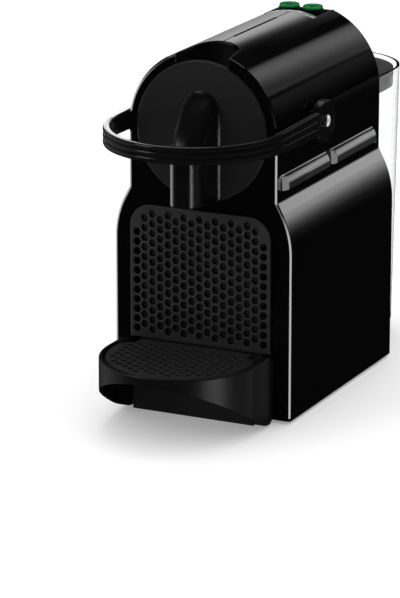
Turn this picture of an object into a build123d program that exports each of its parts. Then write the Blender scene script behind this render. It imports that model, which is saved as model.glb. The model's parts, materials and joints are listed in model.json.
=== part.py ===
from build123d import *
import os
from math import atan2, cos, degrees, radians, sin, sqrt, tan

# Pod coffee machine, in millimetres, +Z up, front towards -Y. The origin is on the table under
# the middle of the whole machine. Below, every Y is measured from the front face of the body,
# and save() shifts the finished pieces together.

# Clearances
run_gap = 0.05          # radial play of a pin, rod or shaft in its bore
fit_gap = 0.15          # between fixed pieces that fit into each other
seat_gap = 0.3          # under or behind a moving piece at rest
move_gap = 0.4          # between pieces that move past each other
past = 1.0              # how far a cut runs past the face it opens

# Body shells
lower_half = 60.0
upper_half = 50.0
head_z = 179.5
crease_z = 139.5
crease_round = 3.5
shoulder_angle = 28.0
shoulder_share = 0.65   # part of the shoulder's step that is the round bend
body_floor = 2.0
body_depth = 158.0
wall = 2.4
edge_round = 2.0
slit_half = 0.8
slit_front = 45.0
slit_back = 108.0

# Capsule slot in the top of the front
slot_front_half = 17.8
slot_back_half = 15.2
slot_side_depth = 21.4
slot_depth = 30.0
slot_lining = 0.9
slot_lining_height = 26.0

# Front disc and spout
disc_ring = 6.3         # width of the shells' ring round the disc
disc_proud = 1.2
spout_half = 11.2
spout_rise = 24.5       # top of the spout above the disc's middle
spout_fall = 41.5       # bottom of the spout below the disc's middle
spout_reach = 30.0
spout_drop = 37.0       # height over which its front comes forward
spout_round = 6.5
spout_tip = 0.7         # flat top under the round end
nozzle_radius = 4.0
nozzle_wall = 1.4
nozzle_length = 20.0
nozzle_drop = 1.0

# Base, feet and rear panel
base_thick = 3.0
foot_radius = 7.0
rear_thick = 3.0
screw_radius = 1.5
screw_head_radius = 3.5
screw_head_thick = 1.5
gland_radius = 6.0
gland_bore = 3.5
gland_length = 5.0
gland_flange = 2.0      # collar wider than the gland

# Slide-out unit: drip base, capsule container and honeycomb panel
unit_half = 41.5
wet_depth = 44.5        # room between bulkhead and rear panel
unit_wall = 1.8
basin_drop = 1.0        # basin's rim below the tray's floor
container_top = 126.0
bay_gap = 2.0
bay_side_gap = 3.7
bay_round = 8.0
panel_side_lap = 2.3    # panel over the bay's side edge
panel_top_lap = 2.0     # panel over the bay's top edge
panel_drop = 1.2        # panel's bottom below the tray's top
panel_round = 14.0
panel_thick = 3.0
hole_across = 4.6
hole_pitch = 6.2
hole_margin = 1.8
skirting_thick = 2.0
skirting_low = 1.0
skirting_high = 30.0
basin_front = 11.5
rail_thick = 2.4
rail_height = 7.0
rail_front = 6.0
bulkhead_thick = 2.5

# Folding cup tray
tray_half = 50.2
tray_reach = 80.0
tray_top = 45.7
tray_front_height = 5.7
tray_wall = 2.4
tray_floor_thick = 2.0
tray_depth = 6.7
skirt_slope = 0.6
ear_low = 1.5
ear_round = 6.0
ear_thick = 7.0
tray_pin_y = -12.0
tray_pin_drop = 8.2
tray_pin_radius = 1.75
tray_lug_radius = 3.5
tray_lug_width = 3.2
back_rail_depth = 3.0
plate_gap = 1.6
plate_thick = 1.6
plate_drop = 0.7
drip_hole = 4.2
drip_margin = 1.8
lip_angle = 24.0        # where the plate's rolled back edge ends
drain_half = 25.0
drain_front = 30.0
drain_back = 22.5
rib_x = 17.0
rib_front = 50.0
rib_back = 20.0

# Lever
pivot_y = 58.0
lever_clear = 3.3       # between the arms and the shells
lever_bend_y = -3.6
lever_bend = 61.7
lever_thick = 4.6
lever_back_height = 14.6
lever_front_height = 10.6
lever_groove_height = 1.5
lever_groove_depth = 0.8
lever_groove_z = 2.2
boss_radius = 13.0
boss_clear = 1.6        # between the bosses and the shells
cap_radius = 3.8
cap_proud = 1.2
shaft_radius = 5.0
bush_wall = 2.4
bush_proud = 0.8
lever_swing = 92.0

# Brew unit
brew_inset = 9.5        # brew side plates inside the shells' outer face
brew_plate_thick = 2.5
brew_plate_half = 17.0
brew_back_thick = 3.0
brew_head_thick = 2.0
extraction_radius = 16.0
extraction_thick = 1.5
cage_stroke = 30.0
cage_gap = 1.2
cage_radius = 20.0
cage_mouth = 15.6
cage_end = 12.8
cage_bore_depth = 30.0
cage_end_thick = 3.8
seal_inner = 16.6
seal_outer = 18.8
seal_depth = 1.0
seal_proud = 0.4
blade_radius = 1.5
blade_length = 5.0
blade_circle = 7.0
crank_thick = 3.2
crank_width = 9.0
crank_pin_radius = 2.5
yoke_play = 1.0
yoke_thick = 3.5
yoke_rim = 3.6
yoke_back_thick = 4.0
rod_x = 26.0
rod_drop = 13.5
rod_radius = 3.0
rod_sleeve = 2.5
rod_sleeve_length = 10.0
feed_radius = 2.5
sleeve_wall = 2.5
feed_overlap = 5.0

# Buttons
recess_half = 17.3
recess_depth = 30.5
strip_depth = 6.0
strip_thick = 3.4
button_plate_thick = 2.0
button_x = 8.2
button_back = 12.0      # buttons' middle before the body's back
button_radius = 6.6
button_rise = 4.4
button_skirt = 1.4
button_travel = 1.5
stem_radius = 2.5
ring_inner = 4.4
ring_outer = 6.0
ring_proud = 0.3
ring_depth = 1.0
board_half = 22.0
board_back_gap = 6.0
board_depth = 28.0
board_thick = 1.6
board_drop = 18.0
post_radius = 2.0
post_x = 14.0
switch_side = 6.0
switch_height = 4.0

# Side vent bars
vent_proud = 3.8
vent_rise = 6.5         # bottom of the bars above the crease
vent_height = 10.0
vent_bevel = 2.4
vent_front = 7.0
vent_gap = 6.0
vent_back = 10.0

# Water tank, lid and socket
tank_gap = 3.0
tank_depth = 80.0
tank_half = 44.0
tank_taper = 3.0
tank_wall = 2.0
tank_rim = 182.0
tank_corner = 6.0
platform_top = 10.0
platform_inset = 1.0
socket_back = 34.0      # socket behind the tank's front
socket_radius = 9.0
socket_height = 6.0
socket_bore = 2.5
socket_seal_thick = 1.5
socket_seal_inset = 1.0
socket_cover = 2.0
valve_hole = 4.0
valve_radius = 7.0
valve_thick = 2.0
valve_stem = 3.5
lid_drop = 2.0
lid_thick = 3.0
lid_inset = 4.0
lid_skirt = 8.0
lid_skirt_wall = 2.0
lid_skirt_inset = 1.5
hinge_back = 7.0
hinge_drop = 4.0
hinge_radius = 3.0
hinge_pin_radius = 1.5
hinge_half = 30.0
ear_width = 3.0
tab_radius = 2.4
tab_rise = 2.2
tab_inset = 6.0

# Pump, thermoblock and water path
pump_x = -26.0
pump_radius = 17.0
pump_low = 56.0
pump_length = 50.0
pump_neck_radius = 7.0
pump_neck_length = 16.0
mount_wall = 4.0
mount_height = 5.0
bracket_thick = 3.0
bracket_edge = 4.0
block_x = 27.0
block_width = 44.0
block_depth = 34.0
block_low = 70.0
block_height = 50.0
block_round = 4.0
port_spread = 8.0
port_depth = 40.0
stat_radius = 6.0
stat_height = 5.0
meter_x = 20.0
meter_radius = 11.0
meter_height = 16.0
hose_radius = 2.5

# Worked out from the sizes above
bore_wall = wall + fit_gap
shoulder_radius = shoulder_share * (lower_half - upper_half) / (1 - cos(radians(shoulder_angle)))
base_top = body_floor + base_thick
unit_floor = base_top + seat_gap
bay_half = unit_half + bay_side_gap
bay_top = container_top + bay_gap
panel_half = bay_half + panel_side_lap
panel_low = tray_top - panel_drop
panel_high = bay_top + panel_top_lap
bulkhead_back = body_depth - rear_thick - wet_depth
bulkhead_y = bulkhead_back - bulkhead_thick
unit_depth = bulkhead_y - bay_gap
basin_top = tray_top - tray_depth - basin_drop
tray_pin_z = tray_top - tray_pin_drop
tray_roll = -tray_pin_y - seat_gap - panel_thick - move_gap
tray_centre = tray_half - tray_reach
tray_rail_back = tray_pin_y - past
plate_top = tray_top - plate_drop
plate_low = plate_top - plate_thick
plate_half = tray_half - tray_wall - plate_gap
plate_side_back = tray_rail_back - back_rail_depth - plate_gap
plate_back = tray_pin_y + sqrt(tray_roll**2 - (plate_top - tray_pin_z) ** 2)
plate_tail_half = unit_half - tray_lug_width - move_gap
disc_radius = upper_half - disc_ring
spout_top = head_z + spout_rise
spout_bottom = head_z - spout_fall
lever_half = upper_half + lever_clear + lever_thick
boss_inner = upper_half + boss_clear
brew_plate_x = upper_half - brew_inset
brew_depth = bulkhead_back
recess_front = body_depth - recess_depth
button_y = body_depth - button_back
board_back = body_depth - board_back_gap
board_front = board_back - board_depth
vent_low = crease_z + vent_rise
vent_high = vent_low + vent_height
vent_length = (body_depth - vent_front - vent_gap - vent_back) / 2
crown_z = head_z + upper_half
flat_z = head_z + sqrt(upper_half**2 - recess_half**2)
board_z = flat_z - button_plate_thick - board_drop
brew_front = bore_wall + brew_head_thick
cage_front = brew_front + extraction_thick + cage_gap
cage_back = cage_front + cage_bore_depth + cage_end_thick
feed_front = cage_back + cage_stroke + move_gap
sleeve_back = feed_front + feed_overlap
crank_lean = lever_swing / 2
crank_length = cage_stroke / 2 / sin(radians(crank_lean))
crank_pin_y = pivot_y - cage_stroke / 2
crank_pin_z = head_z + crank_length * cos(radians(crank_lean))
crank_x = brew_plate_x - crank_thick - move_gap * 2
yoke_x = crank_x - yoke_thick - move_gap * 2
rod_z = head_z - rod_drop
tank_front = body_depth + tank_gap
tank_back = tank_front + tank_depth
socket_y = tank_front + socket_back
tank_low = platform_top + seat_gap
platform_front = tank_front + tank_taper + platform_inset
inlet_z = base_top + hose_radius + fit_gap
total_depth = tray_reach + tank_back
hinge_y = tank_front + hinge_back
hinge_z = tank_rim - hinge_drop
wet_y = (bulkhead_back + body_depth - rear_thick) / 2


def slab(section, front, back):
    """Carries a section drawn in X and Z from one Y to another."""
    return extrude(Plane((0, back, 0), (1, 0, 0), (0, -1, 0)) * section, back - front)


def side_slab(section, left, right):
    """Carries a section drawn in Y and Z from one X to another."""
    return extrude(Plane((left, 0, 0), (0, 1, 0), (1, 0, 0)) * section, right - left)


def flat_slab(section, low, high):
    """Carries a section drawn in X and Y from one Z to another."""
    return extrude(Pos(0, 0, low) * section, high - low)


def block(left, right, front, back, low, high):
    """A box between six planes."""
    middle = Pos((left + right) / 2, (front + back) / 2, (low + high) / 2)
    return middle * Box(right - left, back - front, high - low)


def rod_y(radius, front, back, x, z):
    """A round bar along Y."""
    return slab(Pos(x, z) * Circle(radius), front, back)


def rod_x_way(radius, left, right, y, z):
    """A round bar along X."""
    return side_slab(Pos(y, z) * Circle(radius), left, right)


def post(radius, x, y, low, high):
    """A round bar along Z."""
    return flat_slab(Pos(x, y) * Circle(radius), low, high)


def both_sides(shape):
    """The shape and its mirror image on the other side of the machine."""
    return Part() + [shape, mirror(shape, Plane.YZ)]


def mirrored(shape):
    """The mirror image on the other side of the machine."""
    return mirror(shape, Plane.YZ)


def save(name, shape):
    """Writes one piece, shifted so that the origin is under the machine's middle."""
    moved = Pos(0, tray_reach - total_depth / 2, 0) * shape
    export_step(Compound(children=moved.solids()) if len(moved.solids()) > 1 else moved.solid(),
                f"parts/{name}.step")


def half_section(inset, bottom):
    """Right half of the body's cross-section: straight side, shoulder, waist and round crown."""
    turn = radians(shoulder_angle)
    bend_x = lower_half - shoulder_radius
    slope_run = bend_x + shoulder_radius * cos(turn) - upper_half
    bend_z = crease_z - slope_run / tan(turn) - shoulder_radius * sin(turn)
    waist = upper_half - inset
    crease = (waist, crease_z - inset * tan(turn / 2))
    flank = lower_half - inset
    side = Polyline((0, head_z + waist), (0, bottom), (flank, bottom), (flank, bend_z))
    shoulder = CenterArc((bend_x, bend_z), shoulder_radius - inset, 0, shoulder_angle)
    upright = Polyline(shoulder @ 1, crease, (waist, head_z))
    crown = CenterArc((0, head_z), waist, 0, 90)
    face = make_face(side + shoulder + upright + crown)
    corner = face.vertices().sort_by_distance((*crease, 0))[0]
    return fillet(corner, crease_round + inset)


def slot_section(inset):
    """Plan of the capsule slot: tapering sides and a round back, open past the front face."""
    front = slot_front_half - inset
    back = slot_back_half - inset
    sides = Polyline((-back, slot_side_depth), (-front, 0), (-front, -wall), (front, -wall), (front, 0),
                     (back, slot_side_depth))
    rear = ThreePointArc((back, slot_side_depth), (0, slot_depth - inset), (-back, slot_side_depth))
    return make_face(sides + rear)


def right_shell():
    """Right half of the outer casing, with a front wall round the disc and the bay."""
    body = slab(half_section(0, body_floor), 0, body_depth)
    rim = [e for e in body.faces().sort_by(Axis.Y)[0].edges()
           if e.center().X > wall and e.center().Z > body_floor + wall]
    body = fillet(rim, edge_round)
    body -= slab(half_section(wall, body_floor - wall), wall, body_depth + wall)
    body -= rod_y(disc_radius + fit_gap, -wall, 2 * wall, 0, head_z)
    bay = Pos(0, bay_top / 2) * Rectangle(2 * bay_half, bay_top + 2 * wall)
    bay = fillet(bay.vertices().group_by(Axis.Y)[-1], bay_round)
    body -= slab(Pos(0, -wall) * bay, -wall, 2 * wall)
    body -= flat_slab(slot_section(0), head_z + upper_half / 2, crown_z + wall)
    body -= block(-wall, slit_half, slit_front, slit_back, crown_z - 2 * wall, crown_z + wall)
    body -= block(-wall, recess_half, recess_front, body_depth + wall, crown_z - upper_half / 4,
                  crown_z + wall)
    body -= rod_x_way(shaft_radius + run_gap + bush_wall + fit_gap, 0, lower_half, pivot_y, head_z)
    return body


def capsule_lining():
    """Upright lining round the capsule slot, open to the front and trimmed to the crown."""
    ring = slot_section(fit_gap) - slot_section(fit_gap + slot_lining)
    low = crown_z - slot_lining_height
    return flat_slab(ring, low, crown_z) & rod_y(upper_half - fit_gap, brew_front, body_depth, 0, head_z)


def front_disc():
    """Round front cover, its edge softly rounded."""
    disc = rod_y(disc_radius, -disc_proud, wall, 0, head_z)
    return fillet(disc.faces().sort_by(Axis.Y)[0].edges(), disc_proud / 2)


def spout_depth(z):
    """How far the spout's front stands off the disc at a height: a quarter wave, then upright."""
    share = min(1.0, (spout_top - z) / spout_drop)
    return spout_reach * sin(radians(90 * share))


def spout_slice(z):
    """Plan of the spout at one height: flat back, round front corners, narrowing under the round top."""
    over = max(0.0, z - (spout_top - spout_half))
    half = sqrt(spout_half**2 - over**2)
    depth = spout_depth(z)
    face = Pos(0, -disc_proud - depth / 2) * Rectangle(2 * half, depth)
    front = face.vertices().group_by(Axis.Y)[0]
    most = 0.8
    return Pos(0, 0, z) * fillet(front, min(spout_round, depth * most, half * most))


def coffee_spout():
    """Nose in front of the disc, with the nozzle's bore in its underside."""
    steps = 8
    high = spout_top - spout_tip
    knee = spout_top - spout_drop
    nose = loft([spout_slice(knee + (high - knee) * i / steps) for i in range(steps + 1)])
    nose += flat_slab(Pos(0, 0, -knee) * spout_slice(knee), spout_bottom, knee)
    bore = post(nozzle_radius + fit_gap, 0, nozzle_y(), spout_bottom - past, spout_bottom + nozzle_length)
    return nose - bore


def nozzle_y():
    """The nozzle hangs in the middle of the spout's underside."""
    return -disc_proud - spout_reach / 2


def spout_nozzle():
    """Outlet tube in the spout's underside."""
    low = spout_bottom - nozzle_drop
    high = spout_bottom + nozzle_length
    tube = post(nozzle_radius, 0, nozzle_y(), low, high)
    return tube - post(nozzle_radius - nozzle_wall, 0, nozzle_y(), low, high)


def tank_section(inset):
    """Plan of the tank: straight sides and a round back."""
    half = tank_half - inset
    centre = tank_back - tank_half
    sides = Polyline((half, centre), (half, tank_front + inset), (-half, tank_front + inset), (-half, centre))
    back = ThreePointArc((-half, centre), (0, centre + half), (half, centre))
    face = make_face(sides + back)
    return fillet(face.vertices().group_by(Axis.Y)[0], max(tank_corner - inset, tank_wall))


def tank_block(inset, low, high):
    """Solid of the tank's outline, narrowing evenly towards the bottom."""
    def plan(z):
        return Pos(0, 0, z) * tank_section(inset + tank_taper * (tank_rim - z) / (tank_rim - tank_low))
    return loft([plan(low), plan(high)])


def base_plate():
    """Floor of the body, carried on under the tank as its platform."""
    side = lower_half - wall - fit_gap
    plate = block(-side, side, bore_wall, body_depth, body_floor, base_top)
    neck = tank_half - tank_taper - platform_inset - tank_corner
    plate += block(-neck, neck, bore_wall, platform_front + base_thick, body_floor, base_top)
    plate += flat_slab(tank_section(tank_taper + platform_inset), body_floor, platform_top)
    plate -= rod_y(hose_radius / 2, platform_front, socket_y, 0, inlet_z)
    return plate - post(hose_radius / 2, 0, socket_y, inlet_z, platform_top)


def foot_places():
    """Centres of the rubber feet: two pairs under the body and one under the tank."""
    side = lower_half - wall - foot_radius * 1.4
    rear = tank_back - tank_half
    return [(side, foot_radius * 2), (-side, foot_radius * 2), (side, wet_y), (-side, wet_y),
            (foot_radius * 3, rear + foot_radius * 2), (-foot_radius * 3, rear + foot_radius * 2)]


def rear_panel():
    """Plate that closes the back of the shells, below the button recess."""
    half = half_section(bore_wall, base_top + fit_gap)
    front = body_depth - rear_thick
    panel = slab(half, front, body_depth)
    panel += mirrored(panel)
    top = flat_z - button_plate_thick - fit_gap
    panel -= block(-recess_half, recess_half, front - wall, body_depth + wall, top, crown_z)
    for x, z in screw_places():
        panel -= rod_y(screw_radius + fit_gap, front - wall, body_depth + wall, x, z)
    panel -= rod_y(gland_radius + fit_gap, front - wall, body_depth + wall, gland_x(), gland_z())
    return panel - rod_y(hose_radius + fit_gap, front - wall, body_depth + wall, 0, inlet_z)


def screw_places():
    """Four screws near the rear panel's corners."""
    low = base_top + screw_head_radius * 4
    side = lower_half - wall - screw_head_radius * 2
    upper = upper_half - wall - screw_head_radius * 2
    return [(side, low), (-side, low), (upper, head_z), (-upper, head_z)]


def gland_x():
    """The cable gland is low on the right of the back."""
    return lower_half - wall - gland_radius * 1.5


def gland_z():
    """Height of the cable gland above the base."""
    return base_top + gland_radius * 6


def rear_screws():
    """Screws through the rear panel."""
    front = body_depth - rear_thick
    back = body_depth + screw_head_thick
    screw = rod_y(screw_radius, front, body_depth, 0, 0) + rod_y(screw_head_radius, body_depth, back, 0, 0)
    return Part() + [Pos(x, 0, z) * screw for x, z in screw_places()]


def cable_gland():
    """Empty gland in the rear panel."""
    front = body_depth - rear_thick
    back = body_depth + gland_length
    body = rod_y(gland_radius, front, body_depth + past, gland_x(), gland_z())
    collar = Cone(gland_radius + gland_flange, gland_radius, gland_length)
    collar = Pos(gland_x(), body_depth + gland_length / 2, gland_z()) * Rot(-90, 0, 0) * collar
    return body + collar - rod_y(gland_bore, front - past, back + past, gland_x(), gland_z())


def bulkhead():
    """Upright wall between the bay and the water parts."""
    half = half_section(bore_wall, base_top)
    top = head_z - brew_plate_half - bay_gap
    panel = slab(half, bulkhead_y, bulkhead_back)
    panel += mirrored(panel)
    return panel & block(-lower_half, lower_half, 0, body_depth, 0, top)


def bay_rails():
    """Rails on the base plate beside the drip base."""
    inner = unit_half + seat_gap
    top = base_top + rail_height
    return both_sides(block(inner, inner + rail_thick, rail_front, bulkhead_y, base_top, top))


def drip_base():
    """Open basin at the bottom of the slide-out unit, with the tray's hinge lugs."""
    basin = block(-unit_half, unit_half, -basin_front, unit_depth, unit_floor, basin_top)
    inside = unit_half - unit_wall
    basin -= block(-inside, inside, unit_wall - basin_front, unit_depth - unit_wall, unit_floor + unit_wall,
                   basin_top + past)
    inner = unit_half - tray_lug_width
    lug = rod_x_way(tray_lug_radius, inner, unit_half, tray_pin_y, tray_pin_z)
    lug_front = tray_pin_y - tray_lug_radius
    lug_back = tray_pin_y + tray_lug_radius
    lug += block(inner, unit_half, -basin_front, lug_back, unit_floor + unit_wall, tray_pin_z)
    lug += block(inner, unit_half, lug_front, -basin_front, skirting_high + fit_gap, tray_pin_z)
    lug -= rod_x_way(tray_pin_radius + run_gap, inner - past, unit_half + past, tray_pin_y, tray_pin_z)
    pin = rod_x_way(tray_pin_radius + run_gap, -tray_half, tray_half, tray_pin_y, tray_pin_z)
    return basin + lug + mirrored(lug) - pin


def base_skirting():
    """Grey front panel of the drip base, under the tray."""
    front = -basin_front - skirting_thick
    panel = block(-unit_half, unit_half, front, -basin_front, skirting_low, skirting_high)
    return fillet(panel.edges().filter_by(Axis.Z).group_by(Axis.Y)[0], skirting_thick / 2)


def capsule_container():
    """Open-topped bin for used capsules, standing on the basin's rim behind the honeycomb panel."""
    front = -seat_gap
    inside = unit_half - unit_wall
    bin_block = block(-unit_half, unit_half, front, unit_depth, basin_top, container_top)
    return bin_block - block(-inside, inside, front + unit_wall, unit_depth - unit_wall,
                             basin_top + unit_wall, container_top + past)


def inside_panel(x, z, margin):
    """Whether a point lies inside the honeycomb panel by a margin, its round top corners counted."""
    corner_x = panel_half - panel_round
    corner_z = panel_high - panel_round
    if abs(x) > corner_x and z > corner_z:
        return (abs(x) - corner_x) ** 2 + (z - corner_z) ** 2 < (panel_round - margin) ** 2
    return abs(x) < panel_half - margin and panel_low + margin < z < panel_high - margin


def six_sides(across, up, size):
    """Outline of a six-sided hole round a point, its flats a given size apart."""
    reach = size / 2 / cos(radians(30))
    turns = [radians(60 * k) for k in range(6)]
    return Wire.make_polygon([(across + reach * cos(a), up + reach * sin(a)) for a in turns], close=True)


def honeycomb_panel():
    """Front panel of the container with its field of six-sided holes."""
    plate = Pos(0, (panel_low + panel_high) / 2) * Rectangle(2 * panel_half, panel_high - panel_low)
    plate = fillet(plate.vertices().group_by(Axis.Y)[-1], panel_round)
    step_x = hole_pitch * cos(radians(30))
    margin = hole_margin + hole_across / 2 / cos(radians(30))
    middle = (panel_low + panel_high) / 2
    columns = int(panel_half / step_x)
    rows = int((panel_high - panel_low) / hole_pitch)
    holes = []
    for column in range(-columns, columns + 1):
        for row in range(-rows, rows + 1):
            x = column * step_x
            z = middle + (row + 0.5 * (column % 2)) * hole_pitch
            if inside_panel(x, z, margin):
                holes.append(six_sides(x, z, hole_across))
    face = Face(plate.face().outer_wire(), holes)
    return slab(face, -seat_gap - panel_thick, -seat_gap)


def tray_section(inset):
    """Plan of the cup tray: straight sides and a round front."""
    half = tray_half - inset
    sides = Polyline((half, tray_centre), (half, 0), (-half, 0), (-half, tray_centre))
    front = ThreePointArc((-half, tray_centre), (0, tray_centre - half), (half, tray_centre))
    return make_face(sides + front)


def tray_side():
    """Side view of the tray: thin front, sloping skirt, ears with round feet and a rolled back."""
    roll = tray_roll
    back = tray_pin_y + roll
    front_low = tray_top - tray_front_height
    slope_end = -tray_reach + (front_low - ear_low) / skirt_slope
    roll_top = tray_pin_y + sqrt(roll**2 - (tray_top - tray_pin_z) ** 2)
    slant = roll * cos(radians(45))
    under = Polyline((roll_top, tray_top), (-tray_reach, tray_top), (-tray_reach, front_low),
                     (slope_end, ear_low), (back, ear_low), (back, tray_pin_z))
    curl = ThreePointArc((back, tray_pin_z), (tray_pin_y + slant, tray_pin_z + slant), (roll_top, tray_top))
    face = make_face(under + curl)
    return fillet(face.vertices().group_by(Axis.Y)[0], ear_round)


def cup_tray():
    """Folding cup tray: rim, sloping skirt, shallow floor and two hinge ears."""
    ears_inner = tray_half - ear_thick
    shelf_front = tray_rail_back - back_rail_depth
    shape = side_slab(tray_side(), -tray_half, tray_half) & flat_slab(tray_section(0), 0, tray_top)
    hollow = flat_slab(tray_section(tray_wall), -tray_top, tray_top + past)
    hollow &= block(-tray_half, tray_half, -tray_reach, shelf_front, -tray_top, 2 * tray_top)
    shape -= hollow
    shape -= block(-ears_inner, ears_inner, tray_rail_back, 0, 0, 2 * tray_top)
    rail_low = tray_pin_z + tray_lug_radius + move_gap
    shape -= block(-ears_inner, ears_inner, shelf_front, tray_rail_back, 0, rail_low)
    shape -= block(-ears_inner, ears_inner, shelf_front, tray_rail_back, plate_low, 2 * tray_top)
    floor_low = tray_top - tray_depth
    floor_top = floor_low + tray_floor_thick
    floor = flat_slab(tray_section(tray_wall / 2), floor_low, floor_top)
    floor &= block(-tray_half, tray_half, -tray_reach, tray_pin_y - tray_lug_radius - move_gap, 0, tray_top)
    floor -= block(-drain_half, drain_half, -drain_front, -drain_back, 0, tray_top)
    rib = block(rib_x, rib_x + tray_wall, -rib_front, -rib_back, floor_top - past / 2, plate_low)
    shape += [floor, rib, mirrored(rib)]
    return shape - rod_x_way(tray_pin_radius, -tray_half - past, tray_half + past, tray_pin_y, tray_pin_z)


def inside_plate(x, y, margin):
    """Whether a point lies inside the drip plate by a margin."""
    half = plate_half if y < plate_side_back - margin else plate_tail_half
    ahead = min(0.0, y - tray_centre)
    return y < plate_back - margin and sqrt(x * x + ahead * ahead) < half - margin


def drip_plate():
    """Plate of six-sided holes set into the tray's rim, its back edge rolled down before the panel."""
    main = Pos(0, plate_side_back - tray_reach) * Rectangle(2 * tray_half, 2 * tray_reach)
    tail = Pos(0, (tray_centre + plate_back) / 2) * Rectangle(2 * plate_tail_half, plate_back - tray_centre)
    outline = (tray_section(tray_half - plate_half) & main) + tail
    step_x = hole_pitch * cos(radians(30))
    margin = drip_margin + drip_hole / 2 / cos(radians(30))
    columns = int(plate_half / step_x)
    rows = int(tray_reach / hole_pitch)
    holes = []
    for column in range(-columns, columns + 1):
        for row in range(rows):
            x = column * step_x
            y = plate_back - margin - (row + 0.5 * (column % 2)) * hole_pitch
            if inside_plate(x, y, margin):
                holes.append(six_sides(x, y, drip_hole))
    plate = flat_slab(Face(outline.face().outer_wire(), holes), plate_low, plate_top)
    low = tray_roll * sin(radians(lip_angle))
    high = plate_top - tray_pin_z
    ring = Circle(tray_roll) - Circle(tray_roll - plate_thick)
    ring &= Pos(tray_roll / 2 + plate_thick, (low + high) / 2) * Rectangle(tray_roll, high - low)
    lip = side_slab(Pos(tray_pin_y, tray_pin_z) * ring, -plate_tail_half, plate_tail_half)
    return plate + lip


def tray_pins():
    """Hinge pins, fixed in the ears and turning in the drip base's lugs."""
    inner = unit_half - tray_lug_width
    return both_sides(rod_x_way(tray_pin_radius, inner, tray_half, tray_pin_y, tray_pin_z))


def lever_section(inset):
    """Plan of the lever: straight arms and a half-oval front."""
    half = lever_half - inset
    depth = lever_bend - inset
    arms = Polyline((half, lever_bend_y), (half, pivot_y), (-half, pivot_y), (-half, lever_bend_y))
    loop = EllipticalCenterArc((0, lever_bend_y), half, depth, start_angle=180, arc_size=180)
    return make_face(arms + loop)


def lever_loop():
    """One-piece lever: a grooved band round the front with a boss at each pivot."""
    front = lever_bend_y - lever_bend
    back = lever_back_height / 2
    tip = lever_front_height / 2
    side = make_face(Polyline((front, head_z - tip), (pivot_y, head_z - back), (pivot_y, head_z + back),
                              (front, head_z + tip), close=True))
    ring = lever_section(0) - lever_section(lever_thick)
    band = flat_slab(ring, head_z - back, head_z + back) & side_slab(side, -lever_half, lever_half)
    band -= block(-lever_half + lever_thick, lever_half - lever_thick, lever_bend_y, pivot_y,
                  head_z - 2 * back, head_z + 2 * back)
    groove = lever_section(0) - lever_section(lever_groove_depth)
    groove_low = lever_groove_z - lever_groove_height / 2
    groove_high = lever_groove_z + lever_groove_height / 2
    band -= flat_slab(groove, head_z + groove_low, head_z + groove_high)
    band -= flat_slab(groove, head_z - groove_high, head_z - groove_low)
    boss = rod_x_way(boss_radius, boss_inner, lever_half, pivot_y, head_z)
    hole = rod_x_way(shaft_radius + run_gap / 2, 0, lever_half - cap_proud, pivot_y, head_z)
    return band + both_sides(boss) - both_sides(hole)


def pivot_caps():
    """Bright caps on the outside of the lever's bosses."""
    return both_sides(rod_x_way(cap_radius, lever_half, lever_half + cap_proud, pivot_y, head_z))


def right_crank():
    """Lever shaft with its crank arm and crank pin."""
    shaft = rod_x_way(shaft_radius, crank_x, lever_half - cap_proud, pivot_y, head_z)
    middle_y = (pivot_y + crank_pin_y) / 2
    middle_z = (head_z + crank_pin_z) / 2
    lean = degrees(atan2(crank_pin_z - head_z, crank_pin_y - pivot_y))
    arm = Pos(middle_y, middle_z) * Rot(0, 0, lean) * SlotCenterToCenter(crank_length, crank_width)
    pin = rod_x_way(crank_pin_radius, yoke_x, crank_x + crank_thick, crank_pin_y, crank_pin_z)
    return shaft + side_slab(arm, crank_x, crank_x + crank_thick) + pin


def lever_bushes():
    """Bearing bushes through the brew side plates and the shells."""
    outer = shaft_radius + run_gap + bush_wall
    ring = rod_x_way(outer, brew_plate_x, upper_half + bush_proud, pivot_y, head_z)
    return both_sides(ring - rod_x_way(shaft_radius + run_gap, 0, lower_half, pivot_y, head_z))


def brew_head():
    """Round plate behind the disc, cut away for the falling capsule, that carries the extraction plate."""
    plate = rod_y(upper_half - bore_wall, bore_wall, brew_front, 0, head_z)
    return plate - flat_slab(slot_section(0), head_z + upper_half / 2, crown_z)


def extraction_plate():
    """Plate of small pyramids that the capsule is pressed against."""
    return rod_y(extraction_radius, brew_front, brew_front + extraction_thick, 0, head_z)


def right_brew_plate():
    """Side plate of the brew unit, with the lever's bush."""
    plate = block(brew_plate_x, brew_plate_x + brew_plate_thick, brew_front, brew_depth,
                  head_z - brew_plate_half, head_z + brew_plate_half)
    return plate - rod_x_way(shaft_radius + run_gap + bush_wall + fit_gap, 0, lower_half, pivot_y, head_z)


def brew_rear_plate():
    """Cross-plate at the back of the brew unit, with a foot on top of the bulkhead."""
    side = brew_plate_x + brew_plate_thick
    back = brew_depth + brew_back_thick
    low = head_z - brew_plate_half
    plate = block(-side, side, brew_depth, back, low, head_z + brew_plate_half)
    plate -= rod_y(feed_radius + fit_gap, 0, body_depth, 0, head_z)
    return plate + block(-side, side, bulkhead_y, back, low - bay_gap, low)


def guide_rods():
    """Two rods from the brew head to the rear plate that carry the cage."""
    return both_sides(rod_y(rod_radius, brew_front, brew_depth, rod_x, rod_z))


def feed_tube():
    """Fixed water tube that the cage's sleeve slides over."""
    tube = rod_y(feed_radius, feed_front, brew_depth + brew_back_thick + feed_overlap, 0, head_z)
    return tube - rod_y(feed_radius / 2, 0, body_depth, 0, head_z)


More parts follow.
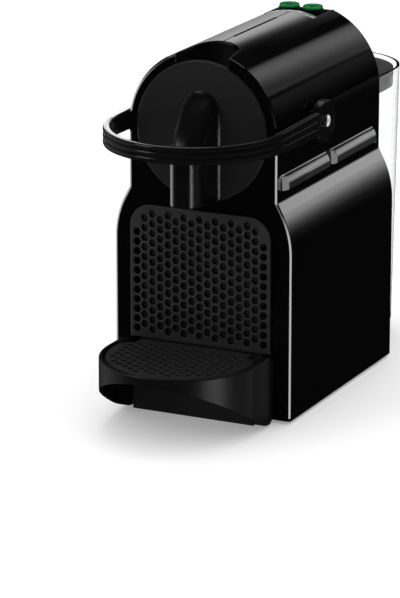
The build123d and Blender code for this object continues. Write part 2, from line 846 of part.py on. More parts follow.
def capsule_cage():
    """Round holder that closes over the capsule, with a seal groove and a water bore."""
    cage = rod_y(cage_radius, cage_front, cage_back, 0, head_z)
    cup = Cone(cage_mouth, cage_end, cage_bore_depth)
    cage -= Pos(0, cage_front + cage_bore_depth / 2, head_z) * Rot(-90, 0, 0) * cup
    groove = rod_y(seal_outer + fit_gap, cage_front, cage_front + seal_depth, 0, head_z)
    groove -= rod_y(seal_inner - fit_gap, cage_front, cage_front + seal_depth, 0, head_z)
    return cage - groove - rod_y(feed_radius / 2, cage_front, cage_back + past, 0, head_z)


def cage_seal():
    """Rubber ring in the cage's front rim."""
    back = cage_front + seal_depth
    return rod_y(seal_outer, cage_front - seal_proud, back, 0, head_z) - rod_y(seal_inner, 0, back, 0, head_z)


def piercing_blades():
    """Three points inside the cage's closed end."""
    end = cage_front + cage_bore_depth
    spike = Rot(90, 0, 0) * Cone(blade_radius, blade_radius / 5, blade_length)
    places = [radians(90 + 120 * k) for k in range(3)]
    middle = Pos(0, end - blade_length / 2, head_z)
    return Part() + [middle * Pos(blade_circle * cos(a), 0, blade_circle * sin(a)) * spike for a in places]


def yoke_slot():
    """Upright slot that the crank pin works in, in Y and Z, with room for its curved path."""
    low = crank_pin_z
    high = head_z + crank_length
    radius = crank_pin_radius + yoke_play
    slot = Rot(0, 0, 90) * SlotCenterToCenter(high - low, 2 * radius)
    return Pos(crank_pin_y, (low + high) / 2) * slot, high, radius


def cage_carriage():
    """Yoke behind the cage: back plate, slotted sides and sleeves on the guide rods."""
    slot, slot_high, slot_radius = yoke_slot()
    top = slot_high + slot_radius + yoke_rim
    low = rod_z - rod_radius - rod_sleeve
    front = crank_pin_y - slot_radius - yoke_rim
    back = max(crank_pin_y + slot_radius + yoke_rim, cage_back + yoke_back_thick)
    side = block(yoke_x, yoke_x + yoke_thick, front, back, low, top) - side_slab(slot, 0, lower_half)
    sides = both_sides(side)
    edge = yoke_x + yoke_thick
    plate = block(-edge, edge, cage_back, cage_back + yoke_back_thick, low,
                  crank_pin_z - slot_radius - yoke_rim)
    sleeve = rod_y(rod_radius + rod_sleeve, cage_back + yoke_back_thick - rod_sleeve_length,
                   cage_back + yoke_back_thick, rod_x, rod_z)
    frame = sides + plate + both_sides(sleeve)
    frame -= both_sides(rod_y(rod_radius + run_gap, 0, body_depth, rod_x, rod_z))
    return frame - rod_y(feed_radius + run_gap + sleeve_wall + fit_gap, 0, body_depth, 0, head_z)


def cage_inlet():
    """Sleeve on the cage's back that slides over the feed tube."""
    sleeve = rod_y(feed_radius + run_gap + sleeve_wall, cage_back, sleeve_back, 0, head_z)
    return sleeve - rod_y(feed_radius + run_gap, 0, sleeve_back + past, 0, head_z)


def trim_strip():
    """Bare bright strip along the front of the button recess, following the crown."""
    half = recess_half - fit_gap
    front = recess_front + fit_gap
    ring = rod_y(upper_half, front, front + strip_depth, 0, head_z)
    ring -= rod_y(upper_half - strip_thick, front, front + strip_depth, 0, head_z)
    return ring & block(-half, half, front, front + strip_depth, head_z, crown_z)


def button_plate():
    """Flat plate of the button recess, with four posts that carry the control board."""
    half = recess_half - fit_gap
    front = recess_front + 2 * fit_gap + strip_depth
    low = flat_z - button_plate_thick
    plate = block(-half, half, front, body_depth, low, flat_z)
    posts = [post(post_radius, x, y, board_z + board_thick, low) for x in (-post_x, post_x)
             for y in (front + post_radius * 1.5, board_back - post_radius * 1.5)]
    plate = plate + posts
    return plate - [post(button_radius + move_gap, x, button_y, low - past, flat_z + past)
                    for x in (-button_x, button_x)]


def right_button():
    """Round button cap on its stem."""
    cap_low = flat_z - button_skirt
    cap = post(button_radius, button_x, button_y, cap_low, flat_z + button_rise)
    cap = fillet(cap.faces().sort_by(Axis.Z)[-1].edges(), (button_radius - ring_outer) * 0.8)
    cap -= right_ring()
    stem_low = board_z + board_thick + switch_height + button_travel + seat_gap
    return cap + post(stem_radius, button_x, button_y, stem_low, cap_low)


def right_ring():
    """Lit ring set into the button's top."""
    high = flat_z + button_rise + ring_proud
    low = high - ring_depth
    return post(ring_outer, button_x, button_y, low, high) - post(ring_inner, button_x, button_y, low, high)


def control_board():
    """Circuit board under the button plate."""
    return block(-board_half, board_half, board_front, board_back, board_z, board_z + board_thick)


def button_switches():
    """Two switches on the board under the buttons."""
    low = board_z + board_thick
    half = switch_side / 2
    return both_sides(block(button_x - half, button_x + half, button_y - half, button_y + half, low,
                            low + switch_height))


def vent_bars():
    """Two raised bars on each side, bevelled along their tops and at their ends."""
    bars = []
    for front in (vent_front, vent_front + vent_length + vent_gap):
        bar = block(upper_half, upper_half + vent_proud, front, front + vent_length, vent_low, vent_high)
        outer = bar.faces().sort_by(Axis.X)[-1]
        bars.append(chamfer(outer.edges().sort_by(Axis.Z)[1:], vent_bevel))
    return both_sides(Part() + bars)


def socket_top():
    """Top of the tank socket."""
    return platform_top + socket_height


def tank_socket():
    """Water socket on the platform, under the tank's valve."""
    body = post(socket_radius, 0, socket_y, platform_top, socket_top())
    return body - post(socket_bore, 0, socket_y, platform_top - past, socket_top() + past)


def socket_seal():
    """Rubber ring on top of the socket."""
    high = socket_top() + socket_seal_thick
    ring = post(socket_radius - socket_seal_inset, 0, socket_y, socket_top(), high)
    return ring - post(valve_stem + move_gap * 2, 0, socket_y, socket_top(), high)


def recess_top():
    """Roof of the hollow in the tank's underside that drops over the socket."""
    return socket_top() + socket_seal_thick + seat_gap


def water_tank():
    """Clear tank, open at the top, with a hollow boss over the socket and hinge ears at its front."""
    boss_top = recess_top() + socket_cover
    boss_out = socket_radius + move_gap + socket_cover
    tank = tank_block(0, tank_low, tank_rim) - tank_block(tank_wall, tank_low + tank_wall, tank_rim + past)
    tank += post(boss_out, 0, socket_y, tank_low, boss_top)
    tank -= post(socket_radius + move_gap, 0, socket_y, 0, recess_top())
    tank -= post(valve_hole, 0, socket_y, 0, boss_top + past)
    ear_x = hinge_half + move_gap
    ear = rod_x_way(hinge_radius, ear_x, ear_x + ear_width, hinge_y, hinge_z)
    ear += block(ear_x, ear_x + ear_width, tank_front + tank_wall / 2, hinge_y, hinge_z - hinge_radius,
                 hinge_z + hinge_radius)
    tank += both_sides(ear)
    return tank - rod_x_way(hinge_pin_radius, -ear_x - ear_width, ear_x + ear_width, hinge_y, hinge_z)


def tank_valve():
    """Valve disc over the tank's outlet, with its stem down towards the socket."""
    seat = recess_top() + socket_cover
    disc = post(valve_radius, 0, socket_y, seat, seat + valve_thick)
    return disc + post(valve_stem, 0, socket_y, seat - socket_cover, seat)


def lid_pin():
    """Hinge pin between the tank's ears."""
    reach = hinge_half + move_gap + ear_width
    return rod_x_way(hinge_pin_radius, -reach, reach, hinge_y, hinge_z)


def tank_lid():
    """Lid set inside the tank's rim, with a skirt below and a hinge barrel at its front."""
    top = tank_rim - lid_drop
    low = top - lid_thick
    edge = hinge_y + hinge_radius + move_gap
    behind = block(-tank_half, tank_half, edge, tank_back, 0, tank_rim)
    plate = flat_slab(tank_section(lid_inset), low, top) & behind
    outer = lid_inset + lid_skirt_inset
    ring = tank_section(outer) - tank_section(outer + lid_skirt_wall)
    plate += flat_slab(ring, low - lid_skirt, low) & behind
    plate += rod_x_way(hinge_radius, -hinge_half, hinge_half, hinge_y, hinge_z)
    web_high = min(top, hinge_z + hinge_radius)
    plate += block(-hinge_half, hinge_half, hinge_y, edge + past, hinge_z - past, web_high)
    return plate - rod_x_way(hinge_pin_radius + run_gap, -tank_half, tank_half, hinge_y, hinge_z)


def lid_tab():
    """Small finger tab near the lid's back edge."""
    low = tank_rim - lid_drop
    return post(tab_radius, 0, tank_back - lid_inset - tab_inset, low, low + tab_rise)


def water_pump():
    """Upright vibration pump: coil body with a neck at each end."""
    high = pump_low + pump_length
    body = post(pump_radius, pump_x, wet_y, pump_low, high)
    low_neck = post(pump_neck_radius, pump_x, wet_y, pump_low - pump_neck_length, pump_low)
    high_neck = post(pump_neck_radius, pump_x, wet_y, high, high + pump_neck_length)
    return body + low_neck + high_neck


def mount_levels():
    """Heights of the two rubber mounts, in the middle of the pump's necks."""
    low = pump_low - (pump_neck_length + mount_height) / 2
    return low, pump_low + pump_length + (pump_neck_length - mount_height) / 2


def pump_mounts():
    """Rubber rings on the pump's necks."""
    outer = pump_neck_radius + mount_wall
    ring = post(outer, pump_x, wet_y, 0, mount_height)
    ring -= post(pump_neck_radius + run_gap, pump_x, wet_y, 0, mount_height)
    return Part() + [Pos(0, 0, z) * ring for z in mount_levels()]


def pump_bracket():
    """Bracket on the bulkhead that holds the pump by its rubber mounts."""
    outer = pump_neck_radius + mount_wall
    side = outer + bracket_edge
    low, high = mount_levels()
    lift = (mount_height - bracket_thick) / 2
    frame = block(pump_x - side, pump_x + side, bulkhead_back, bulkhead_back + bracket_thick, low,
                  high + mount_height)
    frame -= post(pump_radius + move_gap, pump_x, wet_y, pump_low - past, pump_low + pump_length + past)
    for z in (low, high):
        shelf = block(pump_x - side, pump_x + side, bulkhead_back, wet_y + outer, z + lift,
                      z + lift + bracket_thick)
        frame += shelf
        frame -= post(outer + run_gap, pump_x, wet_y, z, z + mount_height)
    return frame


def thermoblock():
    """Cast heater on the bulkhead, with its water passage."""
    half = block_width / 2
    cast = block(block_x - half, block_x + half, bulkhead_back, bulkhead_back + block_depth, block_low,
                 block_low + block_height)
    cast = fillet(cast.edges().filter_by(Axis.Z).group_by(Axis.Y)[-1], block_round)
    high = block_low + block_height
    ports = [post(hose_radius / 2, block_x + side * port_spread, wet_y, high - port_depth, high)
             for side in (-1, 1)]
    cross = rod_x_way(hose_radius / 2, block_x - port_spread, block_x + port_spread, wet_y, high - port_depth)
    return cast - ports - cross


def thermostat():
    """Temperature switch on the back of the heater."""
    back = bulkhead_back + block_depth
    return rod_y(stat_radius, back, back + stat_height, block_x, block_low + block_height / 2)


def flow_meter():
    """Flow meter on the base plate."""
    return post(meter_radius, meter_x, wet_y, base_top, base_top + meter_height)


def hose(points, bend):
    """Hose along straight runs joined by arcs."""
    path = FilletPolyline(*points, radius=bend)
    start = Plane(path @ 0, z_dir=path % 0)
    return sweep(start * Circle(hose_radius), path)


def suction_hose():
    """Hose from the tank's platform through the rear panel to the flow meter."""
    end = meter_x - meter_radius
    return hose([(0, platform_front, inlet_z), (0, wet_y, inlet_z), (end, wet_y, inlet_z)], hose_radius * 2)


def pump_hose():
    """Hose from the flow meter's top up to the pump's lower neck."""
    low = base_top + meter_height
    run = low + hose_radius * 3
    high = pump_low - pump_neck_length
    return hose([(meter_x, wet_y, low), (meter_x, wet_y, run), (pump_x, wet_y, run), (pump_x, wet_y, high)],
                hose_radius * 1.2)


def heater_hose():
    """Hose from the pump's upper neck over to the heater's first port."""
    low = block_low + block_height
    start = pump_low + pump_length + pump_neck_length
    run = max(low, start) + hose_radius * 6
    port = block_x - port_spread
    return hose([(pump_x, wet_y, start), (pump_x, wet_y, run), (port, wet_y, run), (port, wet_y, low)],
                hose_radius * 2)


def brew_hose():
    """Hose from the heater's second port up to the brew unit's feed tube."""
    back = brew_depth + brew_back_thick + feed_overlap
    port = block_x + port_spread
    return hose([(port, wet_y, block_low + block_height), (port, wet_y, rod_z), (0, wet_y, rod_z),
                 (0, wet_y, head_z), (0, back, head_z)], hose_radius * 2)


os.makedirs("parts", exist_ok=True)
save("right_shell", right_shell())
save("left_shell", mirrored(right_shell()))
save("capsule_lining", capsule_lining())
save("front_disc", front_disc())
save("coffee_spout", coffee_spout())
save("spout_nozzle", spout_nozzle())
save("base_plate", base_plate())
save("rubber_feet", Part() + [post(foot_radius, x, y, 0, body_floor) for x, y in foot_places()])
save("rear_panel", rear_panel())
save("rear_screws", rear_screws())
save("cable_gland", cable_gland())
save("bulkhead", bulkhead())
save("bay_rails", bay_rails())
save("vent_bars", vent_bars())
save("trim_strip", trim_strip())
save("button_plate", button_plate())
save("control_board", control_board())
save("button_switches", button_switches())
save("right_button", right_button())
save("right_button_ring", right_ring())
save("left_button", mirrored(right_button()))
save("left_button_ring", mirrored(right_ring()))
save("lever_loop", lever_loop())
save("pivot_caps", pivot_caps())
save("right_crank", right_crank())
save("left_crank", mirrored(right_crank()))
save("lever_bushes", lever_bushes())
save("brew_head", brew_head())
save("extraction_plate", extraction_plate())
save("right_brew_plate", right_brew_plate())
save("left_brew_plate", mirrored(right_brew_plate()))
save("brew_rear_plate", brew_rear_plate())
save("guide_rods", guide_rods())
save("feed_tube", feed_tube())
save("capsule_cage", capsule_cage())
save("cage_seal", cage_seal())
save("piercing_blades", piercing_blades())
save("cage_carriage", cage_carriage())
save("cage_inlet", cage_inlet())
save("drip_base", drip_base())
save("base_skirting", base_skirting())
save("capsule_container", capsule_container())
save("honeycomb_panel", honeycomb_panel())
save("cup_tray", cup_tray())
save("drip_plate", drip_plate())
save("tray_pins", tray_pins())
save("tank_socket", tank_socket())
save("socket_seal", socket_seal())
save("water_tank", water_tank())
save("tank_valve", tank_valve())
save("lid_pin", lid_pin())
save("tank_lid", tank_lid())
save("lid_tab", lid_tab())
save("water_pump", water_pump())
save("pump_mounts", pump_mounts())
save("pump_bracket", pump_bracket())
save("thermoblock", thermoblock())
save("thermostat", thermostat())
save("flow_meter", flow_meter())
save("water_hoses", Part() + [suction_hose(), pump_hose(), heater_hose(), brew_hose()])
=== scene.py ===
import json
import math
import bmesh
import bpy
import numpy as np
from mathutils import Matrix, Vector


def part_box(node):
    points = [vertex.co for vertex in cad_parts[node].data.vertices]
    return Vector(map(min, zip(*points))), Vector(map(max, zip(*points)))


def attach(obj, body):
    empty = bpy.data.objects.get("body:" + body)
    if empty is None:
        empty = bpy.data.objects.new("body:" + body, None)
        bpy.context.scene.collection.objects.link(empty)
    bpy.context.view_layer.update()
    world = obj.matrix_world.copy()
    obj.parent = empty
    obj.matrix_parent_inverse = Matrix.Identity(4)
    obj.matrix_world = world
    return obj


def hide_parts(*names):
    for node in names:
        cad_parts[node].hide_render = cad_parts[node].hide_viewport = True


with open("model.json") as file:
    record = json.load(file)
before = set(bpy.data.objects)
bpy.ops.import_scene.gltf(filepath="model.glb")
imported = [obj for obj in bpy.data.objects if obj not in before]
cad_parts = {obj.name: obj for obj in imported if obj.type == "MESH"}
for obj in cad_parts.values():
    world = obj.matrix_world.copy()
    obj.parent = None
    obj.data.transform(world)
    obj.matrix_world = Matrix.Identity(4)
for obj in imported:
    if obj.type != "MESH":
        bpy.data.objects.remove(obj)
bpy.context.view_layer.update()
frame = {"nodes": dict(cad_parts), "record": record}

# Everything is in metres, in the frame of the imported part: +Z up, front towards -Y.
mm = 0.001
nodes = frame["nodes"]
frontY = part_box("right_shell")[0].y          # front face of the casing
noiseMiddle = (0.3, 0.7)                     # where most of a noise's values lie
slotOf = {part["node"]: part["material_slot"] for part in frame["record"]["subparts"]}
print("frame loaded:", len(nodes), "nodes")


# Finishes

def newFinish(name):
    material = bpy.data.materials.new(name)
    material.use_nodes = True
    tree = material.node_tree
    shader = tree.nodes["Principled BSDF"]
    place = tree.nodes.new("ShaderNodeTexCoord").outputs["Object"]
    return material, tree, shader, place


def addNoise(tree, place, scale, detail=3.0, stretch=None):
    # noise in object metres, squeezed along an axis where stretch is given
    noise = tree.nodes.new("ShaderNodeTexNoise")
    noise.inputs["Scale"].default_value = scale
    noise.inputs["Detail"].default_value = detail
    if stretch:
        mapping = tree.nodes.new("ShaderNodeMapping")
        mapping.inputs["Scale"].default_value = stretch
        tree.links.new(place, mapping.inputs["Vector"])
        place = mapping.outputs["Vector"]
    tree.links.new(place, noise.inputs["Vector"])
    return noise.outputs["Fac"]


def spread(tree, value, low, high):
    # stretches the middle of a noise to run between two values
    ranged = tree.nodes.new("ShaderNodeMapRange")
    ranged.inputs["From Min"].default_value = noiseMiddle[0]
    ranged.inputs["From Max"].default_value = noiseMiddle[1]
    ranged.inputs["To Min"].default_value = low
    ranged.inputs["To Max"].default_value = high
    tree.links.new(value, ranged.inputs["Value"])
    return ranged.outputs["Result"]


def tint(tree, value, dark, light):
    # a colour that drifts between two shades with a noise
    ramp = tree.nodes.new("ShaderNodeValToRGB")
    for stop, position, colour in zip(ramp.color_ramp.elements, noiseMiddle, (dark, light)):
        stop.position = position
        stop.color = (*colour, 1)
    tree.links.new(value, ramp.inputs["Fac"])
    return ramp.outputs["Color"]


def paintedDepthShade(tree, place, colour, shader, look):
    # painted shade: darkens a face's colour and lowers its reflection the further it lies behind the front,
    # as shade falls in holes
    split = tree.nodes.new("ShaderNodeSeparateXYZ")
    tree.links.new(place, split.inputs[0])
    ranged = tree.nodes.new("ShaderNodeMapRange")
    ranged.inputs["From Min"].default_value = look["from"]
    ranged.inputs["From Max"].default_value = look["to"]
    ranged.inputs["To Min"].default_value = 1.0
    ranged.inputs["To Max"].default_value = look["share"]
    tree.links.new(split.outputs[look["axis"]], ranged.inputs["Value"])
    scaled = tree.nodes.new("ShaderNodeVectorMath")
    scaled.operation = "SCALE"
    tree.links.new(colour, scaled.inputs[0])
    tree.links.new(ranged.outputs["Result"], scaled.inputs["Scale"])
    half = tree.nodes.new("ShaderNodeMath")
    half.operation = "MULTIPLY"
    half.inputs[1].default_value = 0.5
    tree.links.new(ranged.outputs["Result"], half.inputs[0])
    tree.links.new(half.outputs[0], shader.inputs["Specular IOR Level"])
    return scaled.outputs["Vector"]


def moulded(name, look):
    # moulded or cast finish: slow drift of colour and gloss, and a fine grain in the bump
    material, tree, shader, place = newFinish(name)
    drift = addNoise(tree, place, look["driftScale"], 2.0)
    grain = addNoise(tree, place, look["grainScale"], 2.0, look.get("stretch"))
    colour = tint(tree, drift, look["dark"], look["light"])
    # where the look asks, painted shade darkens faces lying deeper in holes
    if "deep" in look:
        colour = paintedDepthShade(tree, place, colour, shader, look["deep"])
    tree.links.new(colour, shader.inputs["Base Color"])
    tree.links.new(spread(tree, drift, *look["roughness"]), shader.inputs["Roughness"])
    bump = tree.nodes.new("ShaderNodeBump")
    bump.inputs["Strength"].default_value = look["grainStrength"]
    bump.inputs["Distance"].default_value = look["grainDepth"]
    tree.links.new(grain, bump.inputs["Height"])
    tree.links.new(bump.outputs["Normal"], shader.inputs["Normal"])
    for socket, value in look.get("sockets", {}).items():
        shader.inputs[socket].default_value = value
    return material


finishLooks = {
    "gloss_black": {"dark": (0.0009, 0.0009, 0.0011), "light": (0.0014, 0.0014, 0.0016),
                    "roughness": (0.05, 0.085), "driftScale": 14.0, "grainScale": 260.0,
                    "grainStrength": 0.04, "grainDepth": 0.00008, "sockets": {"IOR": 1.42}},
    "satin_black": {"dark": (0.0016, 0.0016, 0.0018), "light": (0.0026, 0.0026, 0.0028),
                    "roughness": (0.3, 0.38), "driftScale": 22.0, "grainScale": 2600.0,
                    "grainStrength": 0.12, "grainDepth": 0.00006, "sockets": {"IOR": 1.42}},
    "lever_black": {"dark": (0.003, 0.003, 0.0034), "light": (0.0045, 0.0045, 0.005),
                    "roughness": (0.12, 0.18), "driftScale": 30.0, "grainScale": 2400.0,
                    "grainStrength": 0.08, "grainDepth": 0.00005, "sockets": {"IOR": 1.36}},
    "spout_black": {"dark": (0.0016, 0.0016, 0.0018), "light": (0.0026, 0.0026, 0.0028),
                    "roughness": (0.2, 0.26), "driftScale": 22.0, "grainScale": 2600.0,
                    "grainStrength": 0.08, "grainDepth": 0.00005, "sockets": {"IOR": 1.42}},
    # painted shade: near black and without reflection, for the gap of the crown's seam and slit
    "gap_shade_black": {"dark": (0.001, 0.001, 0.001), "light": (0.002, 0.002, 0.002),
                   "roughness": (0.8, 0.9), "driftScale": 40.0, "grainScale": 1500.0,
                   "grainStrength": 0.2, "grainDepth": 0.0001,
                   "sockets": {"Specular IOR Level": 0.0}},
    "drilled_grey_hole_shade": {"dark": (0.0135, 0.0135, 0.0142), "light": (0.018, 0.018, 0.0188),
                     "roughness": (0.42, 0.5), "driftScale": 24.0, "grainScale": 2200.0,
                     "grainStrength": 0.2, "grainDepth": 0.00008, "sockets": {"IOR": 1.45},
                     # painted shade: faces behind the panel's front turn darker and duller, as shade in the
                     # holes
                     "deep": {"axis": "Y", "from": -0.0836, "to": -0.0828, "share": 0.12}},
    "disc_black": {"dark": (0.0085, 0.0085, 0.009), "light": (0.011, 0.011, 0.0115),
                   "roughness": (0.36, 0.44), "driftScale": 20.0, "grainScale": 2600.0,
                   "grainStrength": 0.12, "grainDepth": 0.00006, "sockets": {"IOR": 1.45}},
    "panel_grey": {"dark": (0.0135, 0.0135, 0.0142), "light": (0.018, 0.018, 0.0188),
                   "roughness": (0.46, 0.55), "driftScale": 24.0, "grainScale": 2200.0,
                   "grainStrength": 0.2, "grainDepth": 0.00008, "sockets": {"IOR": 1.45}},
    "skirting_grey": {"dark": (0.011, 0.011, 0.012), "light": (0.015, 0.015, 0.016),
                      "roughness": (0.4, 0.5), "driftScale": 24.0, "grainScale": 2200.0,
                      "grainStrength": 0.16, "grainDepth": 0.00008, "sockets": {"IOR": 1.45}},
    "lid_grey": {"dark": (0.044, 0.045, 0.046), "light": (0.056, 0.057, 0.058),
                 "roughness": (0.35, 0.45), "driftScale": 26.0, "grainScale": 2200.0,
                 "grainStrength": 0.12, "grainDepth": 0.00006,
                 "sockets": {"Specular IOR Level": 0.06}},
    "inner_black": {"dark": (0.012, 0.012, 0.013), "light": (0.018, 0.018, 0.019),
                    "roughness": (0.45, 0.58), "driftScale": 30.0, "grainScale": 1800.0,
                    "grainStrength": 0.2, "grainDepth": 0.0001, "sockets": {"IOR": 1.45}},
    "chrome": {"dark": (0.72, 0.73, 0.74), "light": (0.84, 0.85, 0.86),
               "roughness": (0.16, 0.24), "driftScale": 60.0, "grainScale": 900.0,
               "grainStrength": 0.05, "grainDepth": 0.00004, "sockets": {"Metallic": 1.0}},
    "silver": {"dark": (0.50, 0.51, 0.52), "light": (0.62, 0.63, 0.64),
               "roughness": (0.22, 0.32), "driftScale": 60.0, "grainScale": 1200.0,
               "grainStrength": 0.1, "grainDepth": 0.00004, "stretch": (1.0, 14.0, 1.0),
               "sockets": {"Metallic": 1.0}},
    "rubber": {"dark": (0.014, 0.014, 0.014), "light": (0.022, 0.022, 0.022),
               "roughness": (0.7, 0.85), "driftScale": 40.0, "grainScale": 1500.0,
               "grainStrength": 0.3, "grainDepth": 0.00012},
    "seal": {"dark": (0.10, 0.02, 0.015), "light": (0.14, 0.03, 0.02),
             "roughness": (0.5, 0.62), "driftScale": 50.0, "grainScale": 1500.0,
             "grainStrength": 0.15, "grainDepth": 0.00006},
    "steel": {"dark": (0.42, 0.42, 0.43), "light": (0.55, 0.55, 0.56),
              "roughness": (0.24, 0.36), "driftScale": 45.0, "grainScale": 1400.0,
              "grainStrength": 0.12, "grainDepth": 0.00004, "stretch": (12.0, 1.0, 1.0),
              "sockets": {"Metallic": 1.0}},
    "heater": {"dark": (0.38, 0.38, 0.39), "light": (0.52, 0.52, 0.53),
               "roughness": (0.42, 0.58), "driftScale": 40.0, "grainScale": 900.0,
               "grainStrength": 0.4, "grainDepth": 0.00015, "sockets": {"Metallic": 0.9}},
    "pump_body": {"dark": (0.30, 0.29, 0.26), "light": (0.40, 0.39, 0.35),
                  "roughness": (0.4, 0.5), "driftScale": 30.0, "grainScale": 1500.0,
                  "grainStrength": 0.12, "grainDepth": 0.00008},
    "board": {"dark": (0.012, 0.06, 0.028), "light": (0.018, 0.085, 0.04),
              "roughness": (0.35, 0.45), "driftScale": 90.0, "grainScale": 700.0,
              "grainStrength": 0.2, "grainDepth": 0.0001},
    "hose": {"dark": (0.50, 0.49, 0.46), "light": (0.62, 0.61, 0.58),
             "roughness": (0.3, 0.4), "driftScale": 60.0, "grainScale": 1100.0,
             "grainStrength": 0.1, "grainDepth": 0.00006},
}


def clearPlastic():
    # clear polycarbonate: a slow ripple in the wall and a breath of haze
    material, tree, shader, place = newFinish("clear_tank")
    look = {"colour": (0.98, 0.985, 0.985), "ior": 1.45, "haze": (0.02, 0.05), "rippleScale": 22.0,
            "rippleStrength": 0.15, "rippleDepth": 0.0004}
    ripple = addNoise(tree, place, look["rippleScale"], 1.0)
    shader.inputs["Base Color"].default_value = (*look["colour"], 1)
    shader.inputs["Transmission Weight"].default_value = 1.0
    shader.inputs["IOR"].default_value = look["ior"]
    tree.links.new(spread(tree, ripple, *look["haze"]), shader.inputs["Roughness"])
    bump = tree.nodes.new("ShaderNodeBump")
    bump.inputs["Strength"].default_value = look["rippleStrength"]
    bump.inputs["Distance"].default_value = look["rippleDepth"]
    tree.links.new(ripple, bump.inputs["Height"])
    tree.links.new(bump.outputs["Normal"], shader.inputs["Normal"])
    return material


def litGreen():
    # lit ring of a button: green plastic glowing a little unevenly
    material, tree, shader, place = newFinish("green_light")
    look = {"dark": (0.001, 0.06, 0.014), "light": (0.002, 0.12, 0.03), "glow": (0.0, 0.3, 0.06),
            "strength": 0.3, "unevenScale": 260.0, "roughness": (0.2, 0.34)}
    uneven = addNoise(tree, place, look["unevenScale"], 2.0)
    tree.links.new(tint(tree, uneven, look["dark"], look["light"]), shader.inputs["Base Color"])
    tree.links.new(spread(tree, uneven, *look["roughness"]), shader.inputs["Roughness"])
    shader.inputs["Emission Color"].default_value = (*look["glow"], 1)
    shader.inputs["Emission Strength"].default_value = look["strength"]
    return material


finishes = {slot: moulded(slot, look) for slot, look in finishLooks.items()}
finishes["clear_tank"] = clearPlastic()
finishes["green_light"] = litGreen()
print("finishes:", len(finishes))


# CAD pieces that keep their shape get their finish

# finer than the slot that the piece shares; the honeycomb's finish also paints shade into its holes
ownFinish = {"front_disc": "disc_black", "honeycomb_panel": "drilled_grey_hole_shade"}
for name, part in nodes.items():
    part.data.materials.clear()
    part.data.materials.append(finishes[ownFinish.get(name, slotOf[name])])
print("CAD pieces dressed")


weldReach = {"cadPiece": 1e-5, "ownPiece": 1e-6, "flatFace": 1e-7}


def softened(part, width, angle=30.0):
    # a small round on the sharp edges of a piece, its loose triangles joined first
    weld = part.modifiers.new("join", "WELD")
    weld.merge_threshold = weldReach["cadPiece"]
    bevel = part.modifiers.new("round", "BEVEL")
    bevel.width = width * mm
    bevel.segments = 2
    bevel.limit_method = "ANGLE"
    bevel.angle_limit = math.radians(angle)
    return part


edgeRounds = {"front_disc": 0.4, "honeycomb_panel": 0.35, "drip_plate": 0.3, "rear_panel": 0.3,
              "base_skirting": 0.3, "button_plate": 0.25, "trim_strip": 0.25, "tank_lid": 0.4,
              "cable_gland": 0.3, "rear_screws": 0.2}
for name, width in edgeRounds.items():
    softened(nodes[name], width)
print("edges rounded:", len(edgeRounds))


# Mesh tools. Pieces are worked out in millimetres, with Y from the casing's front face.

def inFrame(points):
    return np.asarray(points, float) * mm + np.array([0.0, frontY, 0.0])


def meshOf(name, grids):
    # quads between neighbours of each rows x columns array of points;
    # a grid may close on itself either way
    points, faces, start = [], [], 0
    for grid, wrapRows, wrapColumns in grids:
        rows, columns = grid.shape[:2]
        index = start + np.arange(rows * columns).reshape(rows, columns)
        index = np.vstack([index, index[:1]]) if wrapRows else index
        index = np.hstack([index, index[:, :1]]) if wrapColumns else index
        quads = np.stack([index[:-1, :-1], index[:-1, 1:], index[1:, 1:], index[1:, :-1]], axis=-1)
        points.append(grid.reshape(-1, 3))
        faces.append(quads.reshape(-1, 4))
        start += rows * columns
    mesh = bpy.data.meshes.new(name)
    mesh.from_pydata(np.vstack(points), [], np.vstack(faces))
    mesh.update()
    return mesh


def addPiece(name, grids, body, slot, stands=(), crease=35.0, finish=None):
    # closes seams and poles, turns the faces outwards, and hangs the piece on its body
    mesh = meshOf(name, [(inFrame(grid), *wraps) for grid, *wraps in grids])
    work = bmesh.new()
    work.from_mesh(mesh)
    bmesh.ops.remove_doubles(work, verts=work.verts, dist=weldReach["ownPiece"])
    bmesh.ops.dissolve_degenerate(work, edges=work.edges, dist=weldReach["flatFace"])
    bmesh.ops.recalc_face_normals(work, faces=work.faces)
    work.to_mesh(mesh)
    work.free()
    mesh.shade_smooth()
    mesh.set_sharp_from_angle(angle=math.radians(crease))
    mesh.materials.append(finishes[finish or slot])
    piece = bpy.data.objects.new(name, mesh)
    bpy.context.scene.collection.objects.link(piece)
    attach(piece, body)
    if stands:
        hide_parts(*stands)
    return piece


def capped(grid):
    # adds a row at each end that gathers the section into its middle, so that the ends are closed
    first = np.repeat(grid[:1].mean(axis=1, keepdims=True), grid.shape[1], axis=1)
    last = np.repeat(grid[-1:].mean(axis=1, keepdims=True), grid.shape[1], axis=1)
    return np.concatenate([first, grid, last])


def turned(profile, steps, axis, centre):
    # a profile of (along, radius) pairs turned round an axis
    profile = np.asarray(profile, float)
    angle = np.linspace(0, 2 * np.pi, steps, endpoint=False)[None, :]
    along = np.repeat(profile[:, :1], steps, axis=1)
    side, up = profile[:, 1:] * np.cos(angle), profile[:, 1:] * np.sin(angle)
    stack = {"x": (along, side, up), "z": (side, up, along)}[axis]
    return np.dstack(stack) + np.asarray(centre, float)


def lifted(profile, start):
    # a profile's (along, radius) pairs, moved along to a start
    return [(start + along, radius) for along, radius in profile]


# Spout

